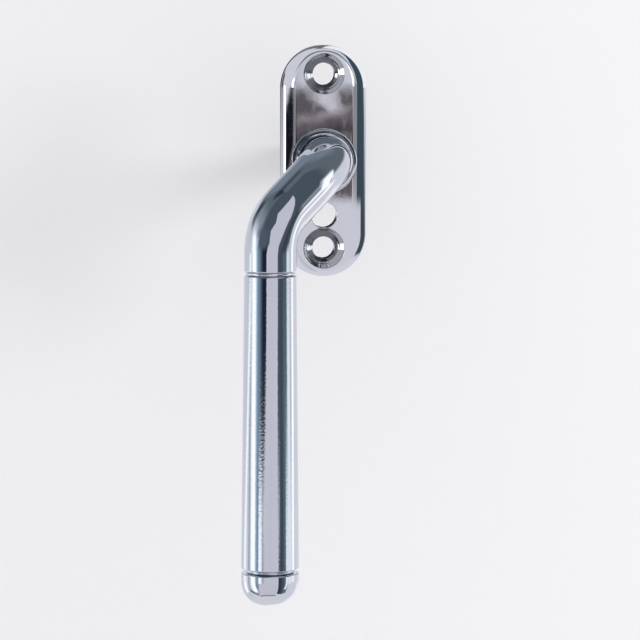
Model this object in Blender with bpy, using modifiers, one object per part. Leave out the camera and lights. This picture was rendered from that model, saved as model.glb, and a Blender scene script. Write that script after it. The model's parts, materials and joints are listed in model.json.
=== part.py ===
"""Cranked espagnolette window handle, built as an assembly of separate pieces.

Run with: blender --background --python part.py

Frame: the origin is on the spindle axis, in the plane of the backplate's rear face. +Z runs up the
backplate, the front faces -Y, and the spindle points along +Y into the window. The lever hangs down and
turns about +Y: positive angles swing the grip from -Z towards -X.

A depth called "front" or "h" is a distance in front of the rear face, so it lies at y = -h.
Bearings round the spindle axis are angles from +X towards +Z.
"""

import math

import bmesh
import bpy
from mathutils import Matrix, Vector

MM = 0.001

# Backplate
PLATE_WIDTH = 21.1 * MM
PLATE_HEIGHT = 57.2 * MM
PLATE_THICKNESS = 7.5 * MM
PLATE_WALL = 2.0 * MM
PLATE_EDGE_RADIUS = 2.6 * MM
SCREW_SPACING = 43.0 * MM
SCREW_HOLE_RADIUS = 2.75 * MM
COUNTERSINK_RADIUS = 5.0 * MM
LOCK_HOLE_DROP = 13.35 * MM
LOCK_HOLE_RADIUS = 3.2 * MM

# Running and seating gaps, and how far a cutter runs past what it cuts
RUNNING_GAP = 0.05 * MM
SEAT_GAP = 0.1 * MM
OVERRUN = 1.0 * MM

# Lever
BAR_RADIUS = 6.2 * MM
JOURNAL_RADIUS = 5.6 * MM
SHOULDER_FRONT = 8.3 * MM
NECK_CORNER_FRONT = 24.2 * MM
NECK_BEND_RADIUS = 24.0 * MM
GRIP_OFFSET = 14.7 * MM
GRIP_STANDOFF = 40.0 * MM
GRIP_CORNER_DROP = 14.0 * MM
GRIP_BEND_RADIUS = 12.0 * MM
UPPER_JOINT = -25.4 * MM
LOWER_JOINT = -96.4 * MM
LEVER_TIP = -104.9 * MM
JOINT_GROOVE_WIDTH = 1.0 * MM
JOINT_RING_RADIUS = 5.4 * MM
GRIP_LOWER_RADIUS = 6.9 * MM
GRIP_BORE_RADIUS = 4.1 * MM
SPIGOT_LENGTH = 12.0 * MM
STUD_RADIUS = 2.5 * MM
STUD_TOP = -22.0 * MM
STUD_BOTTOM = -99.5 * MM

# Spindle
SPINDLE_SIDE = 7.0 * MM
SPINDLE_CHAMFER = 0.5 * MM
SPINDLE_INNER_FRONT = 12.0 * MM
SPINDLE_REACH = 35.0 * MM
CROSS_PIN_RADIUS = 0.8 * MM
CROSS_PIN_BEARING = math.radians(105)
CROSS_PIN_FRONT = 2.35 * MM

# Hub collar and bush
COLLAR_RADIUS = 8.05 * MM
COLLAR_FRONT = 9.6 * MM
COLLAR_SEAT_DEPTH = 0.4 * MM
COLLAR_BORE_CLEARANCE = 0.15 * MM
COLLAR_STEP_RADIUS = 6.95 * MM
COLLAR_GROOVE_WIDTH = 0.3 * MM
BUSH_RADIUS = 6.6 * MM
BUSH_FLANGE_RADIUS = 7.35 * MM

# Washers and circlip behind the plate's wall
WASHER_RADIUS = 7.2 * MM
THRUST_WASHER_THICKNESS = 0.4 * MM
WAVE_WASHER_THICKNESS = 0.25 * MM
WAVE_SWING = 0.12 * MM
WAVES = 3
CIRCLIP_FRONT = 4.3 * MM
CIRCLIP_BACK = 3.7 * MM
CIRCLIP_RADIUS = 6.9 * MM
CIRCLIP_GROOVE_DEPTH = 0.4 * MM
CIRCLIP_HALF_GAP = math.radians(24)
CIRCLIP_EAR_RADIUS = 0.9 * MM
CIRCLIP_EAR_HOLE_RADIUS = 0.4 * MM

# Detent in the rear pocket
POCKET_RADIUS = 9.0 * MM
STOP_RADIUS = 7.75 * MM
CAM_RADIUS = 7.6 * MM
CAM_FRONT = 3.6 * MM
CAM_THICKNESS = 2.5 * MM
NOTCH_RADIUS = 1.3 * MM
NOTCH_CENTRE = 8.45 * MM
STOP_LUG_RADIUS = 8.8 * MM
STOP_LUG_BEARING = math.radians(195)
STOP_LUG_HALF_ANGLE = math.radians(12)
STOP_CLEARANCE = math.radians(1)
STOP_BLOCK_ANGLE = math.radians(12)
LEVER_TRAVEL = math.radians(90)
BALL_RADIUS = 1.15 * MM
BALL_CENTRE = 8.8 * MM
BALL_FRONT = 2.25 * MM
DETENT_BEARINGS = {"upper": math.radians(60), "lower": math.radians(240)}
CHANNEL_END = 14.6 * MM
SPRING_TURNS = 4.5
SPRING_COIL_RADIUS = 0.8 * MM
SPRING_WIRE_RADIUS = 0.19 * MM

# Rear cover
COVER_RECESS = 1.0 * MM
COVER_WIDTH = 17.2 * MM
COVER_HEIGHT = 35.2 * MM
COVER_CORNER_RADIUS = 4.0 * MM
COVER_SCREW_X = 6.2 * MM
COVER_SCREW_Z = 12.9 * MM
COVER_SCREW_RADIUS = 0.95 * MM
COVER_SCREW_HEAD_RADIUS = 1.85 * MM
COVER_SCREW_LENGTH = 4.3 * MM

# Facets round a full circle
FINE_SIDES = 48
PLAIN_SIDES = 32
SMALL_SIDES = 16

FRONT_FACING = (math.pi / 2, 0.0, 0.0)
REAR_FACING = (-math.pi / 2, 0.0, 0.0)

MATERIAL_LOOKS = {
    "polished_chrome": ((0.80, 0.82, 0.85, 1.0), 0.05, 1.0),
    "spring_steel": ((0.42, 0.43, 0.46, 1.0), 0.32, 1.0),
    "zinc_plated_steel": ((0.62, 0.63, 0.62, 1.0), 0.38, 1.0),
    "ball_steel": ((0.68, 0.69, 0.70, 1.0), 0.12, 1.0),
    "bearing_nylon": ((0.045, 0.045, 0.048, 1.0), 0.5, 0.0),
}


# ---------------------------------------------------------------- scene helpers


def clear_scene():
    for item in list(bpy.data.objects):
        bpy.data.objects.remove(item, do_unlink=True)


def make_collection(name):
    collection = bpy.data.collections.new(name)
    bpy.context.scene.collection.children.link(collection)
    return collection


def make_material(name):
    colour, roughness, metallic = MATERIAL_LOOKS[name]
    material = bpy.data.materials.new(name)
    material.use_nodes = True
    shader = material.node_tree.nodes["Principled BSDF"]
    shader.inputs["Base Color"].default_value = colour
    shader.inputs["Roughness"].default_value = roughness
    shader.inputs["Metallic"].default_value = metallic
    material.diffuse_color = colour
    return material


def place(piece, collection):
    """Leave the piece in one collection only."""
    for owner in list(piece.users_collection):
        owner.objects.unlink(piece)
    collection.objects.link(piece)


def add_object(name, mesh):
    piece = bpy.data.objects.new(name, mesh)
    PARTS.objects.link(piece)
    return piece


def finish_part(piece, look):
    piece.data.materials.clear()
    piece.data.materials.append(make_material(look))
    piece.data.materials[0].name = piece.name + "_" + look
    piece.data.shade_smooth()
    piece.data.set_sharp_from_angle(angle=math.radians(35))
    return piece


def as_cutter(piece):
    place(piece, CUTTERS)
    piece.hide_render = True
    piece.display_type = "WIRE"
    return piece


def boolean(piece, tool, operation):
    modifier = piece.modifiers.new(operation.lower() + "_" + tool.name, "BOOLEAN")
    modifier.operation = operation
    modifier.solver = "EXACT"
    modifier.object = as_cutter(tool)


def cut(piece, tool):
    boolean(piece, tool, "DIFFERENCE")


def join(piece, tool):
    boolean(piece, tool, "UNION")


# ---------------------------------------------------------------- shape helpers


def around_hub(radius, bearing, front):
    """The point at a radius and bearing round the spindle axis, at a depth in front of the rear face."""
    return Vector((radius * math.cos(bearing), -front, radius * math.sin(bearing)))


def cylinder(name, radius, start, end, sides=PLAIN_SIDES):
    start = Vector(start)
    end = Vector(end)
    direction = end - start
    bpy.ops.mesh.primitive_cylinder_add(
        vertices=sides,
        radius=radius,
        depth=direction.length,
        location=(start + end) / 2,
        rotation=direction.to_track_quat("Z", "Y").to_euler(),
    )
    piece = bpy.context.object
    piece.name = name
    place(piece, PARTS)
    return piece


def block(name, size, location, rotation=(0.0, 0.0, 0.0)):
    bpy.ops.mesh.primitive_cube_add(size=1.0, location=location, rotation=rotation)
    piece = bpy.context.object
    piece.name = name
    piece.data.transform(Matrix.Diagonal(Vector((*size, 1.0))))
    place(piece, PARTS)
    return piece


def turned(name, profile, rotation=FRONT_FACING, location=(0.0, 0.0, 0.0), sides=PLAIN_SIDES, closed=True):
    """Turn a profile of (radius, height) points, listed outwards along the top and down the outer side."""
    mesh = bpy.data.meshes.new(name)
    points = [(radius, 0.0, height) for radius, height in profile]
    edges = [(i, i + 1) for i in range(len(points) - 1)]
    if closed:
        edges.append((len(points) - 1, 0))
    mesh.from_pydata(points, edges, [])
    piece = add_object(name, mesh)
    piece.rotation_euler = rotation
    piece.location = location
    screw = piece.modifiers.new("turn", "SCREW")
    screw.axis = "Z"
    screw.steps = sides
    screw.render_steps = sides
    screw.use_merge_vertices = True
    screw.merge_threshold = 1e-6
    return piece


def ring(name, inner, outer, front, back, sides=PLAIN_SIDES):
    """A plain washer round the spindle axis, between two depths in front of the rear face."""
    profile = [(inner, front), (outer, front), (outer, back), (inner, back)]
    return turned(name, profile, sides=sides)


def extruded(name, outlines, front, back):
    """Extrude closed (x, z) outlines, the later ones being holes in the first, between two depths."""
    curve = bpy.data.curves.new(name, "CURVE")
    curve.dimensions = "2D"
    curve.fill_mode = "BOTH"
    curve.extrude = (front - back) / 2
    for outline in outlines:
        spline = curve.splines.new("POLY")
        spline.points.add(len(outline) - 1)
        for point, (x, z) in zip(spline.points, outline):
            point.co = (x, z, 0.0, 1.0)
        spline.use_cyclic_u = True
    guide = bpy.data.objects.new(name + "_outline", curve)
    guide.rotation_euler = FRONT_FACING
    guide.location = (0.0, -(front + back) / 2, 0.0)
    return mesh_from_curve(name, guide)


def mesh_from_curve(name, guide):
    """Turn a curve object into a closed mesh object at the same place, and remove the curve."""
    PARTS.objects.link(guide)
    bpy.context.view_layer.update()
    evaluated = guide.evaluated_get(bpy.context.evaluated_depsgraph_get())
    mesh = bpy.data.meshes.new_from_object(evaluated)
    mesh.name = name
    weld(mesh)
    piece = add_object(name, mesh)
    piece.matrix_world = guide.matrix_world.copy()
    bpy.data.objects.remove(guide, do_unlink=True)
    return piece


def weld(mesh):
    shape = bmesh.new()
    shape.from_mesh(mesh)
    bmesh.ops.remove_doubles(shape, verts=shape.verts, dist=1e-6)
    bmesh.ops.dissolve_limit(shape, angle_limit=math.radians(0.5), verts=shape.verts, edges=shape.edges)
    bmesh.ops.recalc_face_normals(shape, faces=shape.faces)
    shape.to_mesh(mesh)
    shape.free()


def weight_edges(piece, wanted):
    """Give full bevel weight to the sharp edges whose two ends satisfy a test on their local points."""
    shape = bmesh.new()
    shape.from_mesh(piece.data)
    layer = shape.edges.layers.float.new("bevel_weight_edge")
    for edge in shape.edges:
        sharp = len(edge.link_faces) == 2 and edge.calc_face_angle() > math.radians(60)
        if sharp and all(wanted(vertex.co) for vertex in edge.verts):
            edge[layer] = 1.0
    shape.to_mesh(piece.data)
    shape.free()


def bevel(piece, width, segments, by_weight=False):
    modifier = piece.modifiers.new("edge", "BEVEL")
    modifier.width = width
    modifier.segments = segments
    modifier.limit_method = "WEIGHT" if by_weight else "ANGLE"
    modifier.angle_limit = math.radians(40)
    modifier.use_clamp_overlap = True


def arc(centre, radius, start, end, steps):
    """Points along an arc, both ends included."""
    angles = [start + (end - start) * i / steps for i in range(steps + 1)]
    return [(centre[0] + radius * math.cos(a), centre[1] + radius * math.sin(a)) for a in angles]


def stadium(width, height, steps):
    """An upright outline with full round ends."""
    radius = width / 2
    reach = height / 2 - radius
    upper = arc((0.0, reach), radius, 0.0, math.pi, steps)
    lower = arc((0.0, -reach), radius, math.pi, 2 * math.pi, steps)
    return upper + lower


def rounded_rectangle(width, height, radius, steps):
    points = []
    for quarter, (side_x, side_z) in enumerate(((1, 1), (-1, 1), (-1, -1), (1, -1))):
        centre = (side_x * (width / 2 - radius), side_z * (height / 2 - radius))
        start = quarter * math.pi / 2
        points += arc(centre, radius, start, start + math.pi / 2, steps)
    return points


def circle(centre, radius, sides):
    return arc(centre, radius, 0.0, 2 * math.pi * (1 - 1 / sides), sides - 1)


def bent_path(corners, radii, step):
    """Points of a path through corners, each inner corner rounded to its radius with steps of an angle."""
    points = [Vector(corners[0])]
    for index, radius in enumerate(radii, start=1):
        corner = Vector(corners[index])
        arriving = (Vector(corners[index - 1]) - corner).normalized()
        leaving = (Vector(corners[index + 1]) - corner).normalized()
        turn = math.pi - arriving.angle(leaving)
        centre = corner + (arriving + leaving).normalized() * radius / math.cos(turn / 2)
        first = (corner + arriving * radius * math.tan(turn / 2) - centre) / radius
        last = (corner + leaving * radius * math.tan(turn / 2) - centre) / radius
        count = max(2, math.ceil(turn / step))
        for i in range(count + 1):
            angle = turn * i / count
            spoke = (first * math.sin(turn - angle) + last * math.sin(angle)) / math.sin(turn)
            points.append(centre + spoke * radius)
    points.append(Vector(corners[-1]))
    return points


def tube(name, points, radius, resolution, location=(0.0, 0.0, 0.0), rotation=(0.0, 0.0, 0.0)):
    """A round bar along a path of points, as a closed mesh."""
    curve = bpy.data.curves.new(name, "CURVE")
    curve.dimensions = "3D"
    curve.bevel_depth = radius
    curve.bevel_resolution = resolution
    curve.use_fill_caps = True
    spline = curve.splines.new("POLY")
    spline.points.add(len(points) - 1)
    for point, place_at in zip(spline.points, points):
        point.co = (*place_at, 1.0)
    guide = bpy.data.objects.new(name + "_path", curve)
    guide.location = location
    guide.rotation_euler = rotation
    return mesh_from_curve(name, guide)


# ---------------------------------------------------------------- fixed pieces


def pocket_outline():
    """The rear pocket: a circle with two stop blocks, one at each end of the lug's sweep."""
    closed_stop = STOP_LUG_BEARING + STOP_LUG_HALF_ANGLE + STOP_CLEARANCE
    open_stop = STOP_LUG_BEARING - LEVER_TRAVEL - STOP_LUG_HALF_ANGLE - STOP_CLEARANCE
    steps = 6
    points = arc((0.0, 0.0), STOP_RADIUS, closed_stop, closed_stop + STOP_BLOCK_ANGLE, 2)
    wall_end = open_stop - STOP_BLOCK_ANGLE + 2 * math.pi
    points += arc((0.0, 0.0), POCKET_RADIUS, closed_stop + STOP_BLOCK_ANGLE, wall_end, 4 * steps)
    points += arc((0.0, 0.0), STOP_RADIUS, wall_end, open_stop + 2 * math.pi, 2)
    sweep_end = closed_stop + 2 * math.pi
    points += arc((0.0, 0.0), POCKET_RADIUS, open_stop + 2 * math.pi, sweep_end, 2 * steps)
    return points


def cut_pocket(plate):
    floor = PLATE_THICKNESS - PLATE_WALL
    below = -OVERRUN
    pocket = extruded("pocket_cutter", [pocket_outline()], floor, below)
    cut(plate, pocket)
    width = 2 * (BALL_RADIUS + RUNNING_GAP)
    depth = BALL_FRONT + BALL_RADIUS + RUNNING_GAP - below
    start = STOP_RADIUS - 0.5 * MM
    for side, bearing in DETENT_BEARINGS.items():
        centre = around_hub((start + CHANNEL_END) / 2, bearing, below + depth / 2)
        size = (CHANNEL_END - start, depth, width)
        channel = block(f"{side}_channel_cutter", size, centre, (0.0, -bearing, 0.0))
        cut(plate, channel)
    recess_outline = rounded_rectangle(
        COVER_WIDTH + 2 * SEAT_GAP, COVER_HEIGHT + 2 * SEAT_GAP, COVER_CORNER_RADIUS + SEAT_GAP, 4
    )
    cut(plate, extruded("cover_recess_cutter", [recess_outline], COVER_RECESS, below))


def countersink_profile():
    """A through hole with a countersink whose lip is eased, as (radius, depth in front of the rear face)."""
    cone_depth = COUNTERSINK_RADIUS - SCREW_HOLE_RADIUS
    lip = 0.35 * MM
    return [
        (0.0, PLATE_THICKNESS + OVERRUN),
        (COUNTERSINK_RADIUS, PLATE_THICKNESS + OVERRUN),
        (COUNTERSINK_RADIUS, PLATE_THICKNESS - lip),
        (SCREW_HOLE_RADIUS, PLATE_THICKNESS - lip - cone_depth),
        (SCREW_HOLE_RADIUS, -OVERRUN),
        (0.0, -OVERRUN),
    ]


def build_backplate():
    plate = extruded("backplate", [stadium(PLATE_WIDTH, PLATE_HEIGHT, 16)], PLATE_THICKNESS, 0.0)
    weight_edges(plate, lambda point: point.z > 0)
    bevel(plate, PLATE_EDGE_RADIUS, 3, by_weight=True)
    cut_pocket(plate)
    for side, direction in (("upper", 1), ("lower", -1)):
        place_at = (0.0, 0.0, direction * SCREW_SPACING / 2)
        hole = turned(f"{side}_screw_hole_cutter", countersink_profile(), location=place_at, closed=False)
        cut(plate, hole)
    lock_hole = cylinder(
        "lock_hole_cutter",
        LOCK_HOLE_RADIUS,
        (0.0, -PLATE_THICKNESS - OVERRUN, -LOCK_HOLE_DROP),
        (0.0, OVERRUN, -LOCK_HOLE_DROP),
    )
    cut(plate, lock_hole)
    hub_bore = cylinder(
        "hub_bore_cutter",
        BUSH_RADIUS + RUNNING_GAP,
        (0.0, -PLATE_THICKNESS - OVERRUN, 0.0),
        (0.0, OVERRUN, 0.0),
        sides=FINE_SIDES,
    )
    cut(plate, hub_bore)
    seat = ring(
        "collar_seat_cutter",
        BUSH_FLANGE_RADIUS + RUNNING_GAP,
        COLLAR_RADIUS + RUNNING_GAP,
        PLATE_THICKNESS + OVERRUN,
        PLATE_THICKNESS - COLLAR_SEAT_DEPTH,
    )
    cut(plate, seat)
    for side, x, z in cover_screw_places():
        radius = COVER_SCREW_RADIUS + RUNNING_GAP
        hole = cylinder(
            f"{side}_cover_screw_hole_cutter",
            radius,
            (x, -COVER_SCREW_LENGTH - SEAT_GAP, z),
            (x, 0.0, z),
            sides=SMALL_SIDES,
        )
        cut(plate, hole)
    return finish_part(plate, "polished_chrome")


def build_collar_ring():
    """A turned ring whose face slopes down from the neck to a fine groove and a rounded rim."""
    wall = BUSH_FLANGE_RADIUS + 2 * RUNNING_GAP
    bore = BAR_RADIUS + COLLAR_BORE_CLEARANCE
    foot = PLATE_THICKNESS - COLLAR_SEAT_DEPTH + RUNNING_GAP
    groove_floor = COLLAR_FRONT - 0.85 * MM
    groove_rim = COLLAR_STEP_RADIUS + COLLAR_GROOVE_WIDTH
    rounding = 0.3 * MM
    profile = [
        (bore, COLLAR_FRONT - 0.1 * MM),
        (bore + 0.25 * MM, COLLAR_FRONT),
        (COLLAR_STEP_RADIUS, COLLAR_FRONT - 0.45 * MM),
        (COLLAR_STEP_RADIUS, groove_floor),
        (groove_rim, groove_floor),
        (groove_rim, COLLAR_FRONT - 0.7 * MM),
        (COLLAR_RADIUS - rounding, COLLAR_FRONT - 0.8 * MM),
        (COLLAR_RADIUS, COLLAR_FRONT - 0.8 * MM - rounding),
        (COLLAR_RADIUS, foot),
        (wall, foot),
        (wall, SHOULDER_FRONT + RUNNING_GAP),
        (bore, SHOULDER_FRONT + RUNNING_GAP),
    ]
    return finish_part(turned("collar_ring", profile), "polished_chrome")


def build_bearing_bush():
    bore = JOURNAL_RADIUS + RUNNING_GAP
    flange_top = SHOULDER_FRONT - RUNNING_GAP
    profile = [
        (bore, flange_top),
        (BUSH_FLANGE_RADIUS, flange_top),
        (BUSH_FLANGE_RADIUS, PLATE_THICKNESS + RUNNING_GAP),
        (BUSH_RADIUS, PLATE_THICKNESS + RUNNING_GAP),
        (BUSH_RADIUS, PLATE_THICKNESS - PLATE_WALL),
        (bore, PLATE_THICKNESS - PLATE_WALL),
    ]
    return finish_part(turned("bearing_bush", profile, sides=FINE_SIDES), "bearing_nylon")


def cover_screw_places():
    return (("upper", -COVER_SCREW_X, COVER_SCREW_Z), ("lower", COVER_SCREW_X, -COVER_SCREW_Z))


def build_cover_plate():
    front = COVER_RECESS - SEAT_GAP
    outline = rounded_rectangle(COVER_WIDTH, COVER_HEIGHT, COVER_CORNER_RADIUS, 4)
    journal_hole = circle((0.0, 0.0), JOURNAL_RADIUS + 3 * RUNNING_GAP, PLAIN_SIDES)
    lock_hole = circle((0.0, -LOCK_HOLE_DROP), LOCK_HOLE_RADIUS + SEAT_GAP, PLAIN_SIDES)
    cover = extruded("cover_plate", [outline, journal_hole, lock_hole], front, RUNNING_GAP)
    head = COVER_SCREW_HEAD_RADIUS + RUNNING_GAP
    shank = COVER_SCREW_RADIUS + RUNNING_GAP
    profile = [
        (0.0, OVERRUN),
        (head, OVERRUN),
        (head, -RUNNING_GAP),
        (shank, -front),
        (shank, -front - OVERRUN),
        (0.0, -front - OVERRUN),
    ]
    for side, x, z in cover_screw_places():
        hole = turned(
            f"{side}_cover_countersink_cutter", profile, REAR_FACING, (x, 0.0, z), SMALL_SIDES, closed=False
        )
        cut(cover, hole)
    return finish_part(cover, "zinc_plated_steel")


def build_cover_screw(side, x, z):
    top = -2 * RUNNING_GAP
    neck = -(COVER_RECESS - SEAT_GAP)
    tip = -COVER_SCREW_LENGTH
    profile = [
        (0.0, top),
        (COVER_SCREW_HEAD_RADIUS, top),
        (COVER_SCREW_RADIUS, neck),
        (COVER_SCREW_RADIUS, tip + 0.3 * MM),
        (0.6 * MM, tip),
        (0.0, tip),
    ]
    screw = turned(f"cover_screw_{side}", profile, REAR_FACING, (x, 0.0, z), SMALL_SIDES, closed=False)
    slot_size = (0.5 * MM, 1.0 * MM, 2.6 * COVER_SCREW_HEAD_RADIUS)
    slot_angle = math.radians(35)
    cut(screw, block(f"{side}_slot_cutter", slot_size, (x, 0.0, z), (0.0, slot_angle, 0.0)))
    return finish_part(screw, "zinc_plated_steel")


def build_detent_spring(side, bearing):
    start = BALL_CENTRE + BALL_RADIUS + SEAT_GAP + SPRING_WIRE_RADIUS
    length = CHANNEL_END - SEAT_GAP - SPRING_WIRE_RADIUS - start
    points_per_turn = 10
    count = int(SPRING_TURNS * points_per_turn)
    points = []
    for i in range(count + 1):
        angle = 2 * math.pi * i / points_per_turn
        across = SPRING_COIL_RADIUS * math.cos(angle)
        along = SPRING_COIL_RADIUS * math.sin(angle)
        points.append(Vector((across, along, length * i / count)))
    outward = around_hub(1.0, bearing, 0.0)
    rotation = outward.to_track_quat("Z", "Y").to_euler()
    location = around_hub(start, bearing, BALL_FRONT)
    name = f"detent_spring_{side}"
    return finish_part(tube(name, points, SPRING_WIRE_RADIUS, 2, location, rotation), "spring_steel")


def build_detent_ball(side, bearing):
    """A ball at the outer end of its travel, clear of the cam's lobes."""
    bpy.ops.mesh.primitive_uv_sphere_add(
        segments=SMALL_SIDES,
        ring_count=SMALL_SIDES // 2,
        radius=BALL_RADIUS,
        location=around_hub(BALL_CENTRE, bearing, BALL_FRONT),
    )
    ball = bpy.context.object
    ball.name = f"detent_ball_{side}"
    place(ball, PARTS)
    return finish_part(ball, "ball_steel")


# ---------------------------------------------------------------- pieces that turn with the lever


def grip_axis_point(height):
    return Vector((-GRIP_OFFSET, -GRIP_STANDOFF, height))


def build_crank():
    """Neck, cranked bar, journal and spigot as one piece, with the spindle socket and the stud hole."""
    upper_face = UPPER_JOINT + JOINT_GROOVE_WIDTH / 2
    corners = [
        (0.0, -SHOULDER_FRONT, 0.0),
        (0.0, -NECK_CORNER_FRONT, 0.0),
        grip_axis_point(-GRIP_CORNER_DROP),
        grip_axis_point(upper_face),
    ]
    path = bent_path(corners, [NECK_BEND_RADIUS, GRIP_BEND_RADIUS], math.radians(9))
    crank = tube("crank", path, BAR_RADIUS, 10)
    journal_end = 0.15 * MM
    groove_radius = JOURNAL_RADIUS - CIRCLIP_GROOVE_DEPTH
    journal_profile = [
        (0.0, SHOULDER_FRONT + OVERRUN),
        (JOURNAL_RADIUS, SHOULDER_FRONT + OVERRUN),
        (JOURNAL_RADIUS, CIRCLIP_FRONT + RUNNING_GAP),
        (groove_radius, CIRCLIP_FRONT + RUNNING_GAP),
        (groove_radius, CIRCLIP_BACK - RUNNING_GAP),
        (JOURNAL_RADIUS, CIRCLIP_BACK - RUNNING_GAP),
        (JOURNAL_RADIUS, journal_end),
        (0.0, journal_end),
    ]
    join(crank, turned("journal", journal_profile, sides=FINE_SIDES, closed=False))
    spigot_radius = GRIP_BORE_RADIUS - RUNNING_GAP
    spigot_end = UPPER_JOINT - SPIGOT_LENGTH
    spigot = cylinder(
        "crank_spigot", spigot_radius, grip_axis_point(upper_face + OVERRUN), grip_axis_point(spigot_end)
    )
    join(crank, spigot)
    socket_side = SPINDLE_SIDE + 2 * RUNNING_GAP
    socket_front = SPINDLE_INNER_FRONT + 2 * SEAT_GAP
    socket_size = (socket_side, socket_front + OVERRUN, socket_side)
    cut(crank, block("socket_cutter", socket_size, (0.0, (OVERRUN - socket_front) / 2, 0.0)))
    stud_hole = cylinder(
        "crank_stud_hole_cutter",
        STUD_RADIUS + RUNNING_GAP,
        grip_axis_point(STUD_TOP + SEAT_GAP),
        grip_axis_point(spigot_end - OVERRUN),
        sides=SMALL_SIDES,
    )
    cut(crank, stud_hole)
    cut(crank, cross_pin_shape("crank_pin_hole_cutter", RUNNING_GAP, OVERRUN))
    return finish_part(crank, "polished_chrome")


def cross_pin_shape(name, growth, overrun):
    """The pin, or its hole, through the axis of the hub."""
    reach = CAM_RADIUS - SEAT_GAP + overrun
    return cylinder(
        name,
        CROSS_PIN_RADIUS + growth,
        around_hub(-reach, CROSS_PIN_BEARING, CROSS_PIN_FRONT),
        around_hub(reach, CROSS_PIN_BEARING, CROSS_PIN_FRONT),
        sides=SMALL_SIDES,
    )


def build_cross_pin():
    return finish_part(cross_pin_shape("cross_pin", 0.0, 0.0), "spring_steel")


def build_joint_ring(name, height):
    """The ring at the bottom of a joint groove, with a slightly rounded rim."""
    half = JOINT_GROOVE_WIDTH / 2 - RUNNING_GAP
    rim = 0.15 * MM
    profile = [
        (GRIP_BORE_RADIUS, height + half),
        (JOINT_RING_RADIUS - rim, height + half),
        (JOINT_RING_RADIUS, height + half - rim),
        (JOINT_RING_RADIUS, height - half + rim),
        (JOINT_RING_RADIUS - rim, height - half),
        (GRIP_BORE_RADIUS, height - half),
    ]
    piece = turned(name, profile, (0.0, 0.0, 0.0), grip_axis_point(0.0))
    return finish_part(piece, "polished_chrome")


def build_grip_sleeve():
    top = UPPER_JOINT - JOINT_GROOVE_WIDTH / 2
    bottom = LOWER_JOINT + JOINT_GROOVE_WIDTH / 2
    lip = 0.25 * MM
    profile = [
        (GRIP_BORE_RADIUS, top),
        (BAR_RADIUS - lip, top),
        (BAR_RADIUS, top - lip),
        (GRIP_LOWER_RADIUS, bottom + lip),
        (GRIP_LOWER_RADIUS - lip, bottom),
        (GRIP_BORE_RADIUS, bottom),
    ]
    piece = turned("grip_sleeve", profile, (0.0, 0.0, 0.0), grip_axis_point(0.0))
    return finish_part(piece, "polished_chrome")


def build_end_cap():
    """The domed cap, whose spigot fills the lower end of the sleeve and takes the stud."""
    top = LOWER_JOINT - JOINT_GROOVE_WIDTH / 2
    lip = 0.25 * MM
    dome_start = top - 1.6 * MM
    dome_height = dome_start - LEVER_TIP
    spigot = GRIP_BORE_RADIUS - RUNNING_GAP
    spigot_top = LOWER_JOINT + SPIGOT_LENGTH
    hole = STUD_RADIUS + RUNNING_GAP
    steps = 7
    flatness = 0.85
    dome = []
    for i in range(1, steps + 1):
        angle = math.pi / 2 * i / steps
        radius = GRIP_LOWER_RADIUS * max(0.0, math.cos(angle)) ** flatness
        dome.append((radius, dome_start - dome_height * math.sin(angle) ** flatness))
    dome[-1] = (0.0, LEVER_TIP)
    profile = [
        (0.0, STUD_BOTTOM - SEAT_GAP),
        (hole, STUD_BOTTOM - SEAT_GAP),
        (hole, spigot_top),
        (spigot, spigot_top),
        (spigot, top),
        (GRIP_LOWER_RADIUS - lip, top),
        (GRIP_LOWER_RADIUS, top - lip),
        (GRIP_LOWER_RADIUS, dome_start),
    ]
    piece = turned("end_cap", profile + dome, (0.0, 0.0, 0.0), grip_axis_point(0.0), closed=False)
    return finish_part(piece, "polished_chrome")


def build_tie_stud():
    stud = cylinder(
        "tie_stud", STUD_RADIUS, grip_axis_point(STUD_TOP), grip_axis_point(STUD_BOTTOM), sides=SMALL_SIDES
    )
    bevel(stud, 0.4 * MM, 1)
    return finish_part(stud, "zinc_plated_steel")


def build_spindle():
    length = SPINDLE_INNER_FRONT + SPINDLE_REACH
    centre = (0.0, (SPINDLE_REACH - SPINDLE_INNER_FRONT) / 2, 0.0)
    spindle = block("spindle", (SPINDLE_SIDE, length, SPINDLE_SIDE), centre)
    bevel(spindle, SPINDLE_CHAMFER, 1)
    cut(spindle, cross_pin_shape("spindle_pin_hole_cutter", RUNNING_GAP, 0.0))
    return finish_part(spindle, "zinc_plated_steel")


def cam_outline():
    """A disc with one stop lug."""
    lug_start = STOP_LUG_BEARING - STOP_LUG_HALF_ANGLE
    lug_end = STOP_LUG_BEARING + STOP_LUG_HALF_ANGLE
    rim = arc((0.0, 0.0), CAM_RADIUS, lug_end, lug_start + 2 * math.pi, PLAIN_SIDES)
    lug = arc((0.0, 0.0), STOP_LUG_RADIUS, lug_start, lug_end, 4)
    return rim + lug


def build_index_cam():
    bore = circle((0.0, 0.0), JOURNAL_RADIUS + RUNNING_GAP, FINE_SIDES)
    cam = extruded("index_cam", [cam_outline(), bore], CAM_FRONT, CAM_FRONT - CAM_THICKNESS)
    first = DETENT_BEARINGS["upper"]
    for index in range(4):
        bearing = first + index * math.pi / 2
        notch = cylinder(
            f"notch_{index}_cutter",
            NOTCH_RADIUS,
            around_hub(NOTCH_CENTRE, bearing, CAM_FRONT + OVERRUN),
            around_hub(NOTCH_CENTRE, bearing, CAM_FRONT - CAM_THICKNESS - OVERRUN),
            sides=SMALL_SIDES,
        )
        cut(cam, notch)
    cut(cam, cross_pin_shape("cam_pin_hole_cutter", RUNNING_GAP, OVERRUN))
    return finish_part(cam, "spring_steel")


def build_thrust_washer():
    front = PLATE_THICKNESS - PLATE_WALL - SEAT_GAP
    back = front - THRUST_WASHER_THICKNESS
    washer = ring("thrust_washer", JOURNAL_RADIUS + RUNNING_GAP, WASHER_RADIUS, front, back)
    return finish_part(washer, "bearing_nylon")


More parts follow.
